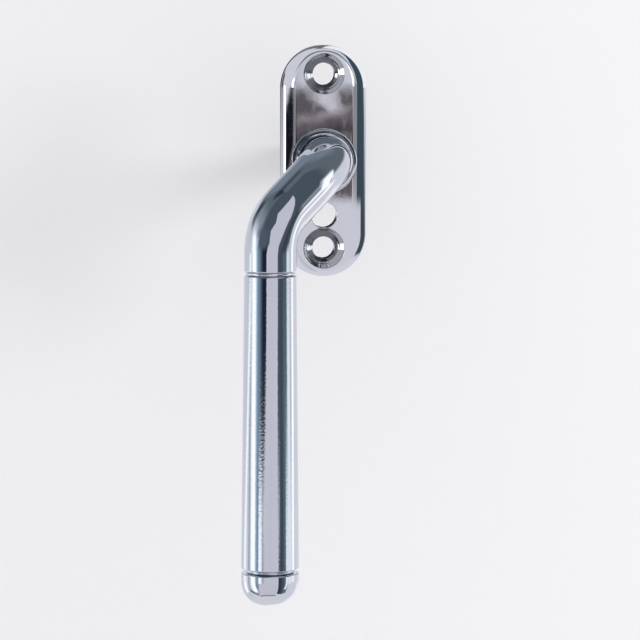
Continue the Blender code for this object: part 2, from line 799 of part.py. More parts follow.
def build_wave_washer():
    """A thin waved ring between the thrust washer and the circlip."""
    front = PLATE_THICKNESS - PLATE_WALL - SEAT_GAP - THRUST_WASHER_THICKNESS
    middle = (front + CIRCLIP_FRONT) / 2
    mesh = bpy.data.meshes.new("wave_washer")
    shape = bmesh.new()
    inner = bmesh.ops.create_circle(shape, segments=PLAIN_SIDES, radius=JOURNAL_RADIUS + SEAT_GAP)
    outer = bmesh.ops.create_circle(shape, segments=PLAIN_SIDES, radius=WASHER_RADIUS)
    edges = {edge for vertex in inner["verts"] + outer["verts"] for edge in vertex.link_edges}
    bmesh.ops.bridge_loops(shape, edges=list(edges))
    for vertex in shape.verts:
        vertex.co.z = WAVE_SWING * math.cos(WAVES * math.atan2(vertex.co.y, vertex.co.x))
    bmesh.ops.recalc_face_normals(shape, faces=shape.faces)
    shape.to_mesh(mesh)
    shape.free()
    washer = add_object("wave_washer", mesh)
    washer.rotation_euler = FRONT_FACING
    washer.location = (0.0, -middle, 0.0)
    solidify = washer.modifiers.new("sheet", "SOLIDIFY")
    solidify.thickness = WAVE_WASHER_THICKNESS
    solidify.offset = 0.0
    return finish_part(washer, "spring_steel")


def build_circlip():
    """An open ring in the journal's groove, with a round ear at each end."""
    inner = JOURNAL_RADIUS - CIRCLIP_GROOVE_DEPTH + SEAT_GAP
    gap_bearing = -math.pi / 2
    start = gap_bearing + CIRCLIP_HALF_GAP
    end = gap_bearing - CIRCLIP_HALF_GAP + 2 * math.pi
    steps = 24
    outline = arc((0.0, 0.0), CIRCLIP_RADIUS, start, end, steps)
    outline += arc((0.0, 0.0), inner, end, start, steps)
    circlip = extruded("circlip", [outline], CIRCLIP_FRONT, CIRCLIP_BACK)
    ear_centre = (inner + CIRCLIP_RADIUS) / 2 + 0.25 * MM
    inset = math.radians(4)
    for side, bearing in (("left", end - inset), ("right", start + inset)):
        ear = cylinder(
            f"circlip_{side}_ear",
            CIRCLIP_EAR_RADIUS,
            around_hub(ear_centre, bearing, CIRCLIP_FRONT),
            around_hub(ear_centre, bearing, CIRCLIP_BACK),
            sides=SMALL_SIDES,
        )
        join(circlip, ear)
        hole = cylinder(
            f"circlip_{side}_ear_hole_cutter",
            CIRCLIP_EAR_HOLE_RADIUS,
            around_hub(ear_centre, bearing, CIRCLIP_FRONT + SEAT_GAP),
            around_hub(ear_centre, bearing, CIRCLIP_BACK - SEAT_GAP),
            sides=SMALL_SIDES // 2,
        )
        cut(circlip, hole)
    return finish_part(circlip, "spring_steel")


# ---------------------------------------------------------------- assembly


def hold_on_pivot(pieces):
    """Parent the lever's pieces to an empty on the hub axis, which is the axis they turn about."""
    pivot = bpy.data.objects.new("lever_pivot", None)
    pivot.empty_display_size = 10 * MM
    PARTS.objects.link(pivot)
    for piece in pieces:
        piece.parent = pivot


def build_handle():
    build_backplate()
    build_collar_ring()
    build_bearing_bush()
    build_cover_plate()
    for side, x, z in cover_screw_places():
        build_cover_screw(side, x, z)
    for side, bearing in DETENT_BEARINGS.items():
        build_detent_spring(side, bearing)
        build_detent_ball(side, bearing)
    lever = [
        build_crank(),
        build_joint_ring("upper_joint_ring", UPPER_JOINT),
        build_grip_sleeve(),
        build_joint_ring("lower_joint_ring", LOWER_JOINT),
        build_end_cap(),
        build_tie_stud(),
        build_spindle(),
        build_cross_pin(),
        build_index_cam(),
        build_thrust_washer(),
        build_wave_washer(),
        build_circlip(),
    ]
    hold_on_pivot(lever)


clear_scene()
PARTS = make_collection("espagnolette_handle")
CUTTERS = make_collection("cutters")
build_handle()
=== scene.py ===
"""Looks of the cranked window handle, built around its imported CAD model.

Every visible piece is a fine surface with its own normals, so that polished metal reflects cleanly.
Shapes are given in millimetres in the frame's axes: +Z up the backplate, front towards -Y, and the hub
on the Y axis. A depth called "front" is a distance in front of the backplate's rear face, and a bearing
is an angle round the hub from +X towards +Z.
"""

import json
import math

import bmesh
import bpy
from mathutils import Matrix, Vector
from mathutils.geometry import tessellate_polygon

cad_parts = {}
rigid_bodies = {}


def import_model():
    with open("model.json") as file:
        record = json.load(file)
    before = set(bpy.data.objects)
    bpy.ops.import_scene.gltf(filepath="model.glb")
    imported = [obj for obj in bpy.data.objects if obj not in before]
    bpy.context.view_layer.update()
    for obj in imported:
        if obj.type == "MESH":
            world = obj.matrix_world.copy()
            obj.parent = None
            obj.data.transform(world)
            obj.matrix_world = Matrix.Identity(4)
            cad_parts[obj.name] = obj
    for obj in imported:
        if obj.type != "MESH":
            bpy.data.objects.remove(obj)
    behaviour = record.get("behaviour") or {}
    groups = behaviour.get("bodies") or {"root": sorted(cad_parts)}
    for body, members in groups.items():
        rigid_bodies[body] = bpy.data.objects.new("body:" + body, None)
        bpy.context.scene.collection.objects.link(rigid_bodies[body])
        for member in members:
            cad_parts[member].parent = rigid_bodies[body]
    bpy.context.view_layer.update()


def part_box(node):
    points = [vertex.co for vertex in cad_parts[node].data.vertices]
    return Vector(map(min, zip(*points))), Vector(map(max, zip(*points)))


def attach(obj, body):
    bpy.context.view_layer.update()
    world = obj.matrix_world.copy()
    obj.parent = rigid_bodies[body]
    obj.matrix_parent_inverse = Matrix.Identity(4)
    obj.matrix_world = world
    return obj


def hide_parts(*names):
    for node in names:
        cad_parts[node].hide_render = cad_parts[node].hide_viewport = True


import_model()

MM = 0.001
SIDES = 96
ARC_STEP = math.radians(9)

UP = Vector((0.0, 0.0, 1.0))
FRONT = Vector((0.0, -1.0, 0.0))
RIGHT = Vector((1.0, 0.0, 0.0))


# ---------------------------------------------------------------- sizes, in millimetres


def box_mm(node):
    low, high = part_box(node)
    return low / MM, high / MM


PLATE_LOW, PLATE_HIGH = box_mm("backplate")
PLATE_WIDTH = PLATE_HIGH.x - PLATE_LOW.x
PLATE_HEIGHT = PLATE_HIGH.z - PLATE_LOW.z
PLATE_THICKNESS = PLATE_HIGH.y - PLATE_LOW.y
SEAT_SLOPE = 0.9
SIDE_INSET = 3.6
END_INSET = 1.7
EDGE_DEPTH = 2.6
SCREW_SPACING = 43.0
SCREW_HOLE_RADIUS = 2.75
COUNTERSINK_RADIUS = 5.0
COUNTERSINK_LIP = 0.35
LOCK_HOLE_DROP = 13.35
LOCK_HOLE_RADIUS = 3.2
HUB_BORE_RADIUS = 6.65
SEAT_DEPTH = 0.4

POCKET_RADIUS = 9.0
POCKET_FRONT = 5.5
STOP_RADIUS = 7.75
STOP_BLOCKS = (math.radians(80), math.radians(92)), (math.radians(208), math.radians(220))
CHANNEL_BEARINGS = math.radians(60), math.radians(240)
CHANNEL_HALF_WIDTH = 1.2
CHANNEL_END = 14.6
CHANNEL_FRONT = 3.45
RECESS_FRONT = 1.0
COVER_SCREW_PLACES = {"upper": (-6.2, 12.9), "lower": (6.2, -12.9)}
COVER_SCREW_HOLE_RADIUS = 1.0
COVER_SCREW_HOLE_END = 4.4
COVER_CORNER_RADIUS = 4.0

COLLAR_LOW, COLLAR_HIGH = box_mm("collar_ring")
COLLAR_RADIUS = COLLAR_HIGH.x
COLLAR_FRONT = -COLLAR_LOW.y
COLLAR_FOOT = -COLLAR_HIGH.y
COLLAR_STEP_RADIUS = 6.95
BUSH_FLANGE_RADIUS = 7.35

SLEEVE_LOW, SLEEVE_HIGH = box_mm("grip_sleeve")
CAP_LOW, CAP_HIGH = box_mm("end_cap")
_, COVER_HIGH = box_mm("cover_plate")
GRIP_X = (SLEEVE_LOW.x + SLEEVE_HIGH.x) / 2
GRIP_Y = (SLEEVE_LOW.y + SLEEVE_HIGH.y) / 2
GRIP_CENTRE = Vector((GRIP_X, GRIP_Y, 0.0))
GRIP_LOWER_RADIUS = (SLEEVE_HIGH.x - SLEEVE_LOW.x) / 2
BAR_RADIUS = 6.2
GRIP_BORE_RADIUS = 4.1
SPIGOT_RADIUS = 4.05
SPIGOT_LENGTH = 12.0
STUD_HOLE_RADIUS = 2.55
UPPER_JOINT = -25.4
LOWER_JOINT = -96.4
JOINT_GROOVE_WIDTH = 1.0
JOINT_RING_RADIUS = 5.9
JOURNAL_RADIUS = 5.6
SHOULDER_FRONT = 8.3
NECK_CORNER_FRONT = 24.2
NECK_BEND_RADIUS = 24.0
GRIP_CORNER = -14.0
GRIP_BEND_RADIUS = 12.0
SOCKET_SIDE = 7.1
SOCKET_FRONT = 12.2
GAP = 0.05


# ---------------------------------------------------------------- surfaces with exact normals


class Shell:
    """A mesh put together from loops of points, where every face corner is given its own normal."""

    def __init__(self):
        self.points = []
        self.faces = []
        self.normals = []

    def loop(self, points):
        first = len(self.points)
        self.points += [Vector(point) for point in points]
        return list(range(first, len(self.points)))

    def face(self, corners, normals):
        """Add a face, without repeated corners, turned to face the way its normals point."""
        kept = [i for i, corner in enumerate(corners) if corner not in corners[:i]]
        if len(kept) < 3:
            return
        corners = [corners[i] for i in kept]
        normals = [normals[i] for i in kept]
        places = [self.points[corner] for corner in corners]
        facing = Vector()
        for i, place in enumerate(places):
            facing += place.cross(places[i - 1])
        if facing.dot(sum(normals, Vector())) > 0:
            corners = corners[::-1]
            normals = normals[::-1]
        self.faces.append(corners)
        self.normals += normals

    def strip(self, first, second, first_normals, second_normals):
        """Join two closed loops of equal length with a band of smooth faces."""
        for i in range(len(first)):
            corners = [first[i - 1], first[i], second[i], second[i - 1]]
            normals = [first_normals[i - 1], first_normals[i], second_normals[i], second_normals[i - 1]]
            self.face(corners, normals)

    def facets(self, first, second, centre):
        """Join two loops with a band of plain faces that face a centre line."""
        for i in range(len(first)):
            corners = [first[i - 1], first[i], second[i], second[i - 1]]
            a, b, c, d = (self.points[corner] for corner in corners)
            normal = (c - a).cross(d - b).normalized()
            if normal.dot(Vector(centre) - a) < 0:
                normal = -normal
            self.face(corners, [normal] * 4)

    def flat(self, loops, normal):
        """Fill a flat region: the first loop is its outline, and the others are holes in it."""
        order = [index for loop in loops for index in loop]
        places = [[self.points[index] for index in loop] for loop in loops]
        for triangle in tessellate_polygon(places):
            self.face([order[i] for i in triangle], [Vector(normal)] * 3)

    def sweep(self, stations, along, section):
        """Carry a section round stations of (origin, spoke), and return its first and last loops."""
        origin = stations[0][0]
        is_round = all((place - origin).length < 1e-6 for place, _ in stations)
        bands = []
        for point, normal in section:
            same = [loop for at, loop, _ in bands if (at - point).length < 1e-6]
            if same:
                loop = same[-1]
            elif is_round and abs(point.x) < 1e-6:
                loop = self.loop([origin + along * point.y]) * len(stations)
            else:
                loop = self.loop([place + spoke * point.x + along * point.y for place, spoke in stations])
            normals = [spoke * normal.x + along * normal.y for _, spoke in stations]
            bands.append((point, loop, normals))
        for (_, first, first_normals), (_, second, second_normals) in zip(bands, bands[1:]):
            if first != second:
                self.strip(first, second, first_normals, second_normals)
        return bands[0][1], bands[-1][1]

    def make(self, name):
        mesh = bpy.data.meshes.new(name)
        mesh.from_pydata([point * MM for point in self.points], [], self.faces)
        mesh.shade_smooth()
        mesh.normals_split_custom_set([normal.normalized() for normal in self.normals])
        piece = bpy.data.objects.new(name, mesh)
        bpy.context.scene.collection.objects.link(piece)
        return piece


def left_of(direction):
    return Vector((-direction.y, direction.x))


def rounded_corner(spot, arriving, leaving, radius):
    """Pairs of (point, normal) round one corner of a section; a radius of 0 keeps the corner sharp."""
    first = left_of(arriving)
    last = left_of(leaving)
    if radius == 0:
        return [(spot, first), (spot, last)]
    turn = arriving.angle(leaving)
    outward = 1 if leaving.dot(first) < 0 else -1
    start = spot - arriving * radius * math.tan(turn / 2)
    centre = start - first * radius * outward
    steps = max(2, math.ceil(turn / ARC_STEP))
    pairs = []
    for step in range(steps + 1):
        share = step / steps
        blend = first * math.sin((1 - share) * turn) + last * math.sin(share * turn)
        normal = blend / math.sin(turn)
        pairs.append((centre + normal * radius * outward, normal))
    return pairs


def eased(corners, closed=False):
    """Turn corners of (across, along, radius) into a section: (point, normal) pairs with round corners.

    The surface faces the left of the direction of travel: a section that runs outwards along the top
    and down the outer side faces out of the piece.
    """
    spots = [Vector(corner[:2]) for corner in corners]
    section = []
    for i, spot in enumerate(spots):
        arriving = (spot - spots[i - 1]).normalized()
        leaving = (spots[(i + 1) % len(spots)] - spot).normalized()
        if not closed and i == 0:
            section.append((spot, left_of(leaving)))
        elif not closed and i == len(spots) - 1:
            section.append((spot, left_of(arriving)))
        else:
            section += rounded_corner(spot, arriving, leaving, corners[i][2])
    if closed:
        section.append(section[0])
    return section


def curved(points):
    """A section along a smooth curve, whose normals follow the curve."""
    spots = [Vector(point) for point in points]
    section = []
    for i, spot in enumerate(spots):
        direction = spots[min(i + 1, len(spots) - 1)] - spots[max(i - 1, 0)]
        section.append((spot, left_of(direction.normalized())))
    return section


def spokes(start, end, steps, across=RIGHT, up=UP):
    angles = [start + (end - start) * i / steps for i in range(steps + 1)]
    return [across * math.cos(angle) + up * math.sin(angle) for angle in angles]


def round_stations(centre, across, up, sides=SIDES):
    full = spokes(0.0, 2 * math.pi, sides, across, up)
    return [(Vector(centre), spoke) for spoke in full[:-1]]


def hub_stations(x=0.0, z=0.0, sides=SIDES):
    return round_stations((x, 0.0, z), RIGHT, UP, sides)


def grip_stations(sides=SIDES):
    return round_stations(GRIP_CENTRE, RIGHT, -FRONT, sides)


def cornered_stations(half_width, half_height, steps):
    """Stations round four corner centres, which a section is carried round at the corners' radius."""
    stations = []
    for quarter, (side_x, side_z) in enumerate(((1, 1), (-1, 1), (-1, -1), (1, -1))):
        origin = Vector((side_x * half_width, 0.0, side_z * half_height))
        start = quarter * math.pi / 2
        stations += [(origin, spoke) for spoke in spokes(start, start + math.pi / 2, steps)]
    return stations


def stadium_stations(reach, steps):
    upper = [(UP * reach, spoke) for spoke in spokes(0.0, math.pi, steps)]
    lower = [(UP * -reach, spoke) for spoke in spokes(math.pi, 2 * math.pi, steps)]
    return upper + lower


def around_hub(radius, bearing, front):
    return RIGHT * radius * math.cos(bearing) + UP * radius * math.sin(bearing) + FRONT * front


# ---------------------------------------------------------------- backplate


def pocket_wall(first, last, front):
    """Points of the pocket's wall between two bearings, stepping in at the stop blocks."""
    cuts = [(first, last, POCKET_RADIUS)]
    for start, end in STOP_BLOCKS:
        if first < start < last:
            before, after, _ = cuts.pop()
            cuts.append((before, start, POCKET_RADIUS))
            cuts.append((start, end, STOP_RADIUS))
            cuts.append((end, after, POCKET_RADIUS))
    points = []
    for start, end, radius in cuts:
        steps = max(2, math.ceil((end - start) / math.radians(5)))
        points += [around_hub(radius, start + (end - start) * i / steps, front) for i in range(steps + 1)]
    return points


def channel_walls(bearing, front):
    """The two far corners of a detent channel."""
    outward = around_hub(1.0, bearing, 0.0)
    sideways = around_hub(1.0, bearing + math.pi / 2, 0.0)
    end = outward * CHANNEL_END + FRONT * front
    return [end - sideways * CHANNEL_HALF_WIDTH, end + sideways * CHANNEL_HALF_WIDTH]


def add_pocket(shell):
    """The detent pocket with its two channels, and the loop where it meets the recess floor."""
    mouth = math.asin(CHANNEL_HALF_WIDTH / POCKET_RADIUS)
    upper, lower = CHANNEL_BEARINGS
    stretches = ((lower, upper + mouth, lower - mouth), (upper, lower + mouth, upper - mouth + 2 * math.pi))
    top_loop = []
    ledge_loop = []
    round_loop = []
    for next_channel, start, end in stretches:
        top_loop += shell.loop(pocket_wall(start, end, RECESS_FRONT))
        top_loop += shell.loop(channel_walls(next_channel, RECESS_FRONT))
        wall = shell.loop(pocket_wall(start, end, CHANNEL_FRONT))
        corners = shell.loop(channel_walls(next_channel, CHANNEL_FRONT))
        ledge_loop += wall + corners
        bearings = (next_channel + mouth * share for share in (-0.5, 0.0, 0.5))
        mouth_arc = shell.loop([around_hub(POCKET_RADIUS, bearing, CHANNEL_FRONT) for bearing in bearings])
        round_loop.append((wall, mouth_arc, corners))
    shell.facets(top_loop, ledge_loop, FRONT * CHANNEL_FRONT)
    pocket_loop = []
    for i, (wall, mouth_arc, corners) in enumerate(round_loop):
        next_wall = round_loop[(i + 1) % len(round_loop)][0]
        shell.flat([[wall[-1]] + corners + [next_wall[0]] + mouth_arc[::-1]], -FRONT)
        pocket_loop += wall + mouth_arc
    floor_loop = shell.loop([shell.points[i] + FRONT * (POCKET_FRONT - CHANNEL_FRONT) for i in pocket_loop])
    shell.facets(pocket_loop, floor_loop, FRONT * CHANNEL_FRONT)
    return top_loop, floor_loop


def add_rim(shell):
    """The crowned rim, a quarter ellipse that is wider at the sides, and the loops where it ends."""
    half = PLATE_WIDTH / 2
    stations = stadium_stations((PLATE_HEIGHT - PLATE_WIDTH) / 2, 72)
    insets = [END_INSET + (SIDE_INSET - END_INSET) * spoke.x**2 for _, spoke in stations]
    side = eased([(half, PLATE_THICKNESS - EDGE_DEPTH, 0), (half, 0.0, 0.2), (half - 1.0, 0.0, 0)])
    side_start, rear_rim = shell.sweep(stations, FRONT, side)
    steps = 10
    bands = []
    for step in range(steps + 1):
        drop = math.sin(math.pi / 2 * step / steps)
        rise = math.cos(math.pi / 2 * step / steps)
        height = FRONT * (PLATE_THICKNESS - EDGE_DEPTH + EDGE_DEPTH * rise)
        points = []
        normals = []
        for (origin, spoke), inset in zip(stations, insets):
            points.append(origin + spoke * (half - inset + inset * drop) + height)
            normals.append(spoke * drop / inset + FRONT * rise / EDGE_DEPTH)
        bands.append((side_start if step == steps else shell.loop(points), normals))
    for (first, first_normals), (second, second_normals) in zip(bands, bands[1:]):
        shell.strip(first, second, first_normals, second_normals)
    return bands[0][0], rear_rim


def build_backplate():
    shell = Shell()
    face_rim, rear_rim = add_rim(shell)
    face_holes = []
    rear_holes = []
    cone_front = PLATE_THICKNESS - COUNTERSINK_LIP
    screw_hole = eased(
        [
            (SCREW_HOLE_RADIUS, 0.0, 0),
            (SCREW_HOLE_RADIUS, cone_front - SEAT_SLOPE * (COUNTERSINK_RADIUS - SCREW_HOLE_RADIUS), 0.15),
            (COUNTERSINK_RADIUS, cone_front, 0.12),
            (COUNTERSINK_RADIUS, PLATE_THICKNESS, 0.12),
            (COUNTERSINK_RADIUS + 0.15, PLATE_THICKNESS, 0),
        ]
    )
    for z in (SCREW_SPACING / 2, -SCREW_SPACING / 2):
        rear, front = shell.sweep(hub_stations(z=z), FRONT, screw_hole)
        face_holes.append(front)
        rear_holes.append(rear)
    lock_hole = eased(
        [
            (LOCK_HOLE_RADIUS, RECESS_FRONT, 0),
            (LOCK_HOLE_RADIUS, PLATE_THICKNESS, 0.25),
            (LOCK_HOLE_RADIUS + 0.4, PLATE_THICKNESS, 0),
        ]
    )
    lock_rear, lock_front = shell.sweep(hub_stations(z=-LOCK_HOLE_DROP), FRONT, lock_hole)
    face_holes.append(lock_front)
    boss = BUSH_FLANGE_RADIUS + GAP
    seat = COLLAR_RADIUS + GAP
    hub_bore = eased(
        [
            (HUB_BORE_RADIUS, POCKET_FRONT, 0),
            (HUB_BORE_RADIUS, PLATE_THICKNESS, 0),
            (boss, PLATE_THICKNESS, 0),
            (boss, PLATE_THICKNESS - SEAT_DEPTH, 0),
            (seat, PLATE_THICKNESS - SEAT_DEPTH, 0),
            (seat, PLATE_THICKNESS, 0.05),
            (seat + 0.1, PLATE_THICKNESS, 0),
        ]
    )
    hub_rear, hub_front = shell.sweep(hub_stations(), FRONT, hub_bore)
    face_holes.append(hub_front)
    shell.flat([face_rim] + face_holes, FRONT)
    recess_radius = COVER_CORNER_RADIUS + 2 * GAP
    corner_x = COVER_HIGH.x - COVER_CORNER_RADIUS
    corner_z = COVER_HIGH.z - COVER_CORNER_RADIUS
    recess_stations = cornered_stations(corner_x, corner_z, 8)
    recess_wall = eased([(recess_radius, 0.0, 0), (recess_radius, RECESS_FRONT, 0)])
    recess_rim, recess_floor = shell.sweep(recess_stations, FRONT, recess_wall)
    shell.flat([rear_rim] + rear_holes + [recess_rim], -FRONT)
    floor_holes = [lock_rear]
    for x, z in COVER_SCREW_PLACES.values():
        bore = eased(
            [
                (0.0, COVER_SCREW_HOLE_END, 0),
                (COVER_SCREW_HOLE_RADIUS, COVER_SCREW_HOLE_END, 0),
                (COVER_SCREW_HOLE_RADIUS, RECESS_FRONT, 0),
            ]
        )
        inward = [(point, -normal) for point, normal in bore]
        floor_holes.append(shell.sweep(hub_stations(x, z, 24), FRONT, inward)[1])
    pocket_rim, pocket_floor = add_pocket(shell)
    shell.flat([recess_floor] + floor_holes + [pocket_rim], -FRONT)
    shell.flat([pocket_floor, hub_rear], -FRONT)
    return shell.make("backplate_casting")


# ---------------------------------------------------------------- hub collar and rear cover


def build_collar():
    bore = BAR_RADIUS + 0.15
    wall = BUSH_FLANGE_RADIUS + 2 * GAP
    groove_rim = COLLAR_STEP_RADIUS + 0.3
    section = eased(
        [
            (bore, COLLAR_FRONT - 0.1, 0.05),
            (bore + 0.25, COLLAR_FRONT, 0.1),
            (COLLAR_STEP_RADIUS, COLLAR_FRONT - 0.45, 0.1),
            (COLLAR_STEP_RADIUS, COLLAR_FRONT - 0.85, 0.05),
            (groove_rim, COLLAR_FRONT - 0.85, 0.05),
            (groove_rim, COLLAR_FRONT - 0.7, 0.06),
            (COLLAR_RADIUS, COLLAR_FRONT - 0.82, 0.3),
            (COLLAR_RADIUS, COLLAR_FOOT, 0.05),
            (wall, COLLAR_FOOT, 0.05),
            (wall, SHOULDER_FRONT + GAP, 0.05),
            (bore, SHOULDER_FRONT + GAP, 0.05),
        ],
        closed=True,
    )
    shell = Shell()
    shell.sweep(hub_stations(), FRONT, section)
    return shell.make("hub_collar")


# ---------------------------------------------------------------- lever


def lever_path():
    """Centres along the crank, each with its direction, from the shoulder to the grip joint."""
    end = Vector((GRIP_X, GRIP_Y, UPPER_JOINT + JOINT_GROOVE_WIDTH / 2 + 1.0))
    corners = [
        FRONT * (SHOULDER_FRONT + 0.5),
        FRONT * NECK_CORNER_FRONT,
        Vector((GRIP_X, GRIP_Y, GRIP_CORNER)),
        end,
    ]
    stops = [(corners[0], FRONT)]
    for index, radius in ((1, NECK_BEND_RADIUS), (2, GRIP_BEND_RADIUS)):
        arriving = (corners[index] - corners[index - 1]).normalized()
        leaving = (corners[index + 1] - corners[index]).normalized()
        turn = arriving.angle(leaving)
        inward = (leaving - arriving * arriving.dot(leaving)).normalized()
        start = corners[index] - arriving * radius * math.tan(turn / 2)
        steps = math.ceil(turn / math.radians(2))
        for step in range(steps + 1):
            angle = turn * step / steps
            place = start + arriving * radius * math.sin(angle) + inward * radius * (1 - math.cos(angle))
            stops.append((place, arriving * math.cos(angle) + inward * math.sin(angle)))
    stops.append((end, stops[-1][1]))
    return stops


def build_crank():
    """The bar with its journal and spindle socket at the hub, and its spigot and stud hole at the grip."""
    shell = Shell()
    across = RIGHT.copy()
    direction = FRONT
    bands = []
    for place, heading in lever_path():
        across.rotate(direction.rotation_difference(heading))
        direction = heading
        across = (across - heading * across.dot(heading)).normalized()
        up = across.cross(heading)
        ring = spokes(0.0, 2 * math.pi, SIDES, across, up)[:-1]
        bands.append((place, ring, shell.loop([place + spoke * BAR_RADIUS for spoke in ring])))
    for (_, first_ring, first), (_, second_ring, second) in zip(bands, bands[1:]):
        shell.strip(first, second, first_ring, second_ring)
    hub_ring = bands[0][1]
    journal = eased(
        [
            (BAR_RADIUS, SHOULDER_FRONT + 0.5, 0),
            (BAR_RADIUS, SHOULDER_FRONT, 0.1),
            (JOURNAL_RADIUS, SHOULDER_FRONT, 0),
            (JOURNAL_RADIUS, 4.35, 0),
            (JOURNAL_RADIUS - 0.4, 4.35, 0),
            (JOURNAL_RADIUS - 0.4, 3.65, 0),
            (JOURNAL_RADIUS, 3.65, 0),
            (JOURNAL_RADIUS, 0.15, 0.2),
            (SOCKET_SIDE / 2 + 1.6, 0.15, 0),
        ]
    )
    hub_stop = [(Vector(), spoke) for spoke in hub_ring]
    journal_start, journal_end = shell.sweep(hub_stop, FRONT, journal)
    shell.strip(bands[0][2], journal_start, hub_ring, hub_ring)
    corner = 0.25
    socket_stations = cornered_stations(SOCKET_SIDE / 2 - corner, SOCKET_SIDE / 2 - corner, 4)
    socket = eased([(corner, 0.15, 0), (corner, SOCKET_FRONT, 0)])
    mouth, bottom = shell.sweep(socket_stations, FRONT, socket)
    shell.flat([journal_end, mouth], -FRONT)
    shell.flat([bottom], -FRONT)
    face = UPPER_JOINT + JOINT_GROOVE_WIDTH / 2
    spigot_end = UPPER_JOINT - SPIGOT_LENGTH
    spigot = eased(
        [
            (BAR_RADIUS, face + 1.0, 0),
            (BAR_RADIUS, face, 0.25),
            (SPIGOT_RADIUS, face, 0.05),
            (SPIGOT_RADIUS, spigot_end, 0.3),
            (STUD_HOLE_RADIUS, spigot_end, 0.1),
            (STUD_HOLE_RADIUS, -21.9, 0),
            (0.0, -21.9, 0),
        ]
    )
    grip_ring = bands[-1][1]
    grip_stop = [(GRIP_CENTRE, spoke) for spoke in grip_ring]
    spigot_start, _ = shell.sweep(grip_stop, UP, spigot)
    shell.strip(bands[-1][2], spigot_start, grip_ring, grip_ring)
    return shell.make("crank_forging")


def build_grip_sleeve():
    top = UPPER_JOINT - JOINT_GROOVE_WIDTH / 2
    bottom = LOWER_JOINT + JOINT_GROOVE_WIDTH / 2
    section = eased(
        [
            (GRIP_BORE_RADIUS, top, 0.05),
            (BAR_RADIUS, top, 0.25),
            (GRIP_LOWER_RADIUS, bottom, 0.25),
            (GRIP_BORE_RADIUS, bottom, 0.05),
        ],
        closed=True,
    )
    shell = Shell()
    shell.sweep(grip_stations(), UP, section)
    return shell.make("grip_tube")


def build_joint_ring(name, height):
    half = JOINT_GROOVE_WIDTH / 2 - GAP
    section = eased(
        [
            (GRIP_BORE_RADIUS, height + half, 0.05),
            (JOINT_RING_RADIUS, height + half, half * 0.95),
            (JOINT_RING_RADIUS, height - half, half * 0.95),
            (GRIP_BORE_RADIUS, height - half, 0.05),
        ],
        closed=True,
    )
    shell = Shell()
    shell.sweep(grip_stations(), UP, section)
    return shell.make(name)


def build_end_cap():
    top = LOWER_JOINT - JOINT_GROOVE_WIDTH / 2
    dome_start = top - 1.6
    dome_height = dome_start - CAP_LOW.z
    steps = 24
    flatness = 0.85
    dome = []
    for i in range(1, steps):
        angle = math.pi / 2 * i / steps
        across = GRIP_LOWER_RADIUS * math.cos(angle) ** flatness
        dome.append((across, dome_start - dome_height * math.sin(angle) ** flatness))
    dome.append((0.0, CAP_LOW.z))
    body = eased(
        [
            (0.0, -99.6, 0),
            (STUD_HOLE_RADIUS, -99.6, 0),
            (STUD_HOLE_RADIUS, CAP_HIGH.z, 0.1),
            (SPIGOT_RADIUS, CAP_HIGH.z, 0.3),
            (SPIGOT_RADIUS, top, 0.05),
            (GRIP_LOWER_RADIUS, top, 0.25),
            (GRIP_LOWER_RADIUS, dome_start, 0),
        ]
    )
    rounding = curved([(GRIP_LOWER_RADIUS, dome_start)] + dome)
    rounding[0] = (rounding[0][0], Vector((1.0, 0.0)))
    rounding[-1] = (rounding[-1][0], Vector((0.0, -1.0)))
    shell = Shell()
    shell.sweep(grip_stations(), UP, body + rounding)
    return shell.make("grip_end_cap")


# ---------------------------------------------------------------- materials

# Scales are in bumps or grooves to a millimetre.
CLOUD_SCALE = 0.11
SMUDGE_SCALE = 0.6
SMUDGE_STRETCH = (1.0, 1.0, 0.4)
SCRATCH_SCALE = 9.0
SCRATCH_STRETCH = (1.0, 1.0, 0.1)
SCRATCH_STRENGTH = 0.12
SCRATCH_SHADE = 0.6
RUBBED_SHINE = 1.3
TURNED_SCALE = 1.5


def math_node(tree, operation, first, second=0.0, third=None):
    node = tree.nodes.new("ShaderNodeMath")
    node.operation = operation
    for socket, value in zip(node.inputs, (first, second, third)):
        if isinstance(value, (int, float)):
            socket.default_value = value
        elif value is not None:
            tree.links.new(value, socket)
    return node.outputs[0]


def smooth_step(tree, value, low, high):
    node = tree.nodes.new("ShaderNodeMapRange")
    node.interpolation_type = "SMOOTHSTEP"
    tree.links.new(value, node.inputs["Value"])
    node.inputs["From Min"].default_value = low
    node.inputs["From Max"].default_value = high
    return node.outputs[0]


def colour_socket(sockets, name):
    kind = "Factor_Float" if name == "Factor" else name + "_Color"
    return next(socket for socket in sockets if socket.identifier == kind)


def mix_colour(tree, factor, under, over):
    node = tree.nodes.new("ShaderNodeMix")
    node.data_type = "RGBA"
    for name, value in (("Factor", factor), ("A", under), ("B", over)):
        socket = colour_socket(node.inputs, name)
        if isinstance(value, tuple):
            socket.default_value = value
        else:
            tree.links.new(value, socket)
    return colour_socket(node.outputs, "Result")


def noise(tree, place, scale, detail=3.0, stretch=(1.0, 1.0, 1.0)):
    """Noise with so many bumps in a millimetre, drawn out along an axis whose stretch is below 1."""
    mapping = tree.nodes.new("ShaderNodeMapping")
    mapping.inputs["Scale"].default_value = [scale / MM * share for share in stretch]
    tree.links.new(place, mapping.inputs["Vector"])
    texture = tree.nodes.new("ShaderNodeTexNoise")
    texture.inputs["Scale"].default_value = 1.0
    texture.inputs["Detail"].default_value = detail
    tree.links.new(mapping.outputs[0], texture.inputs["Vector"])
    return texture.outputs[0]


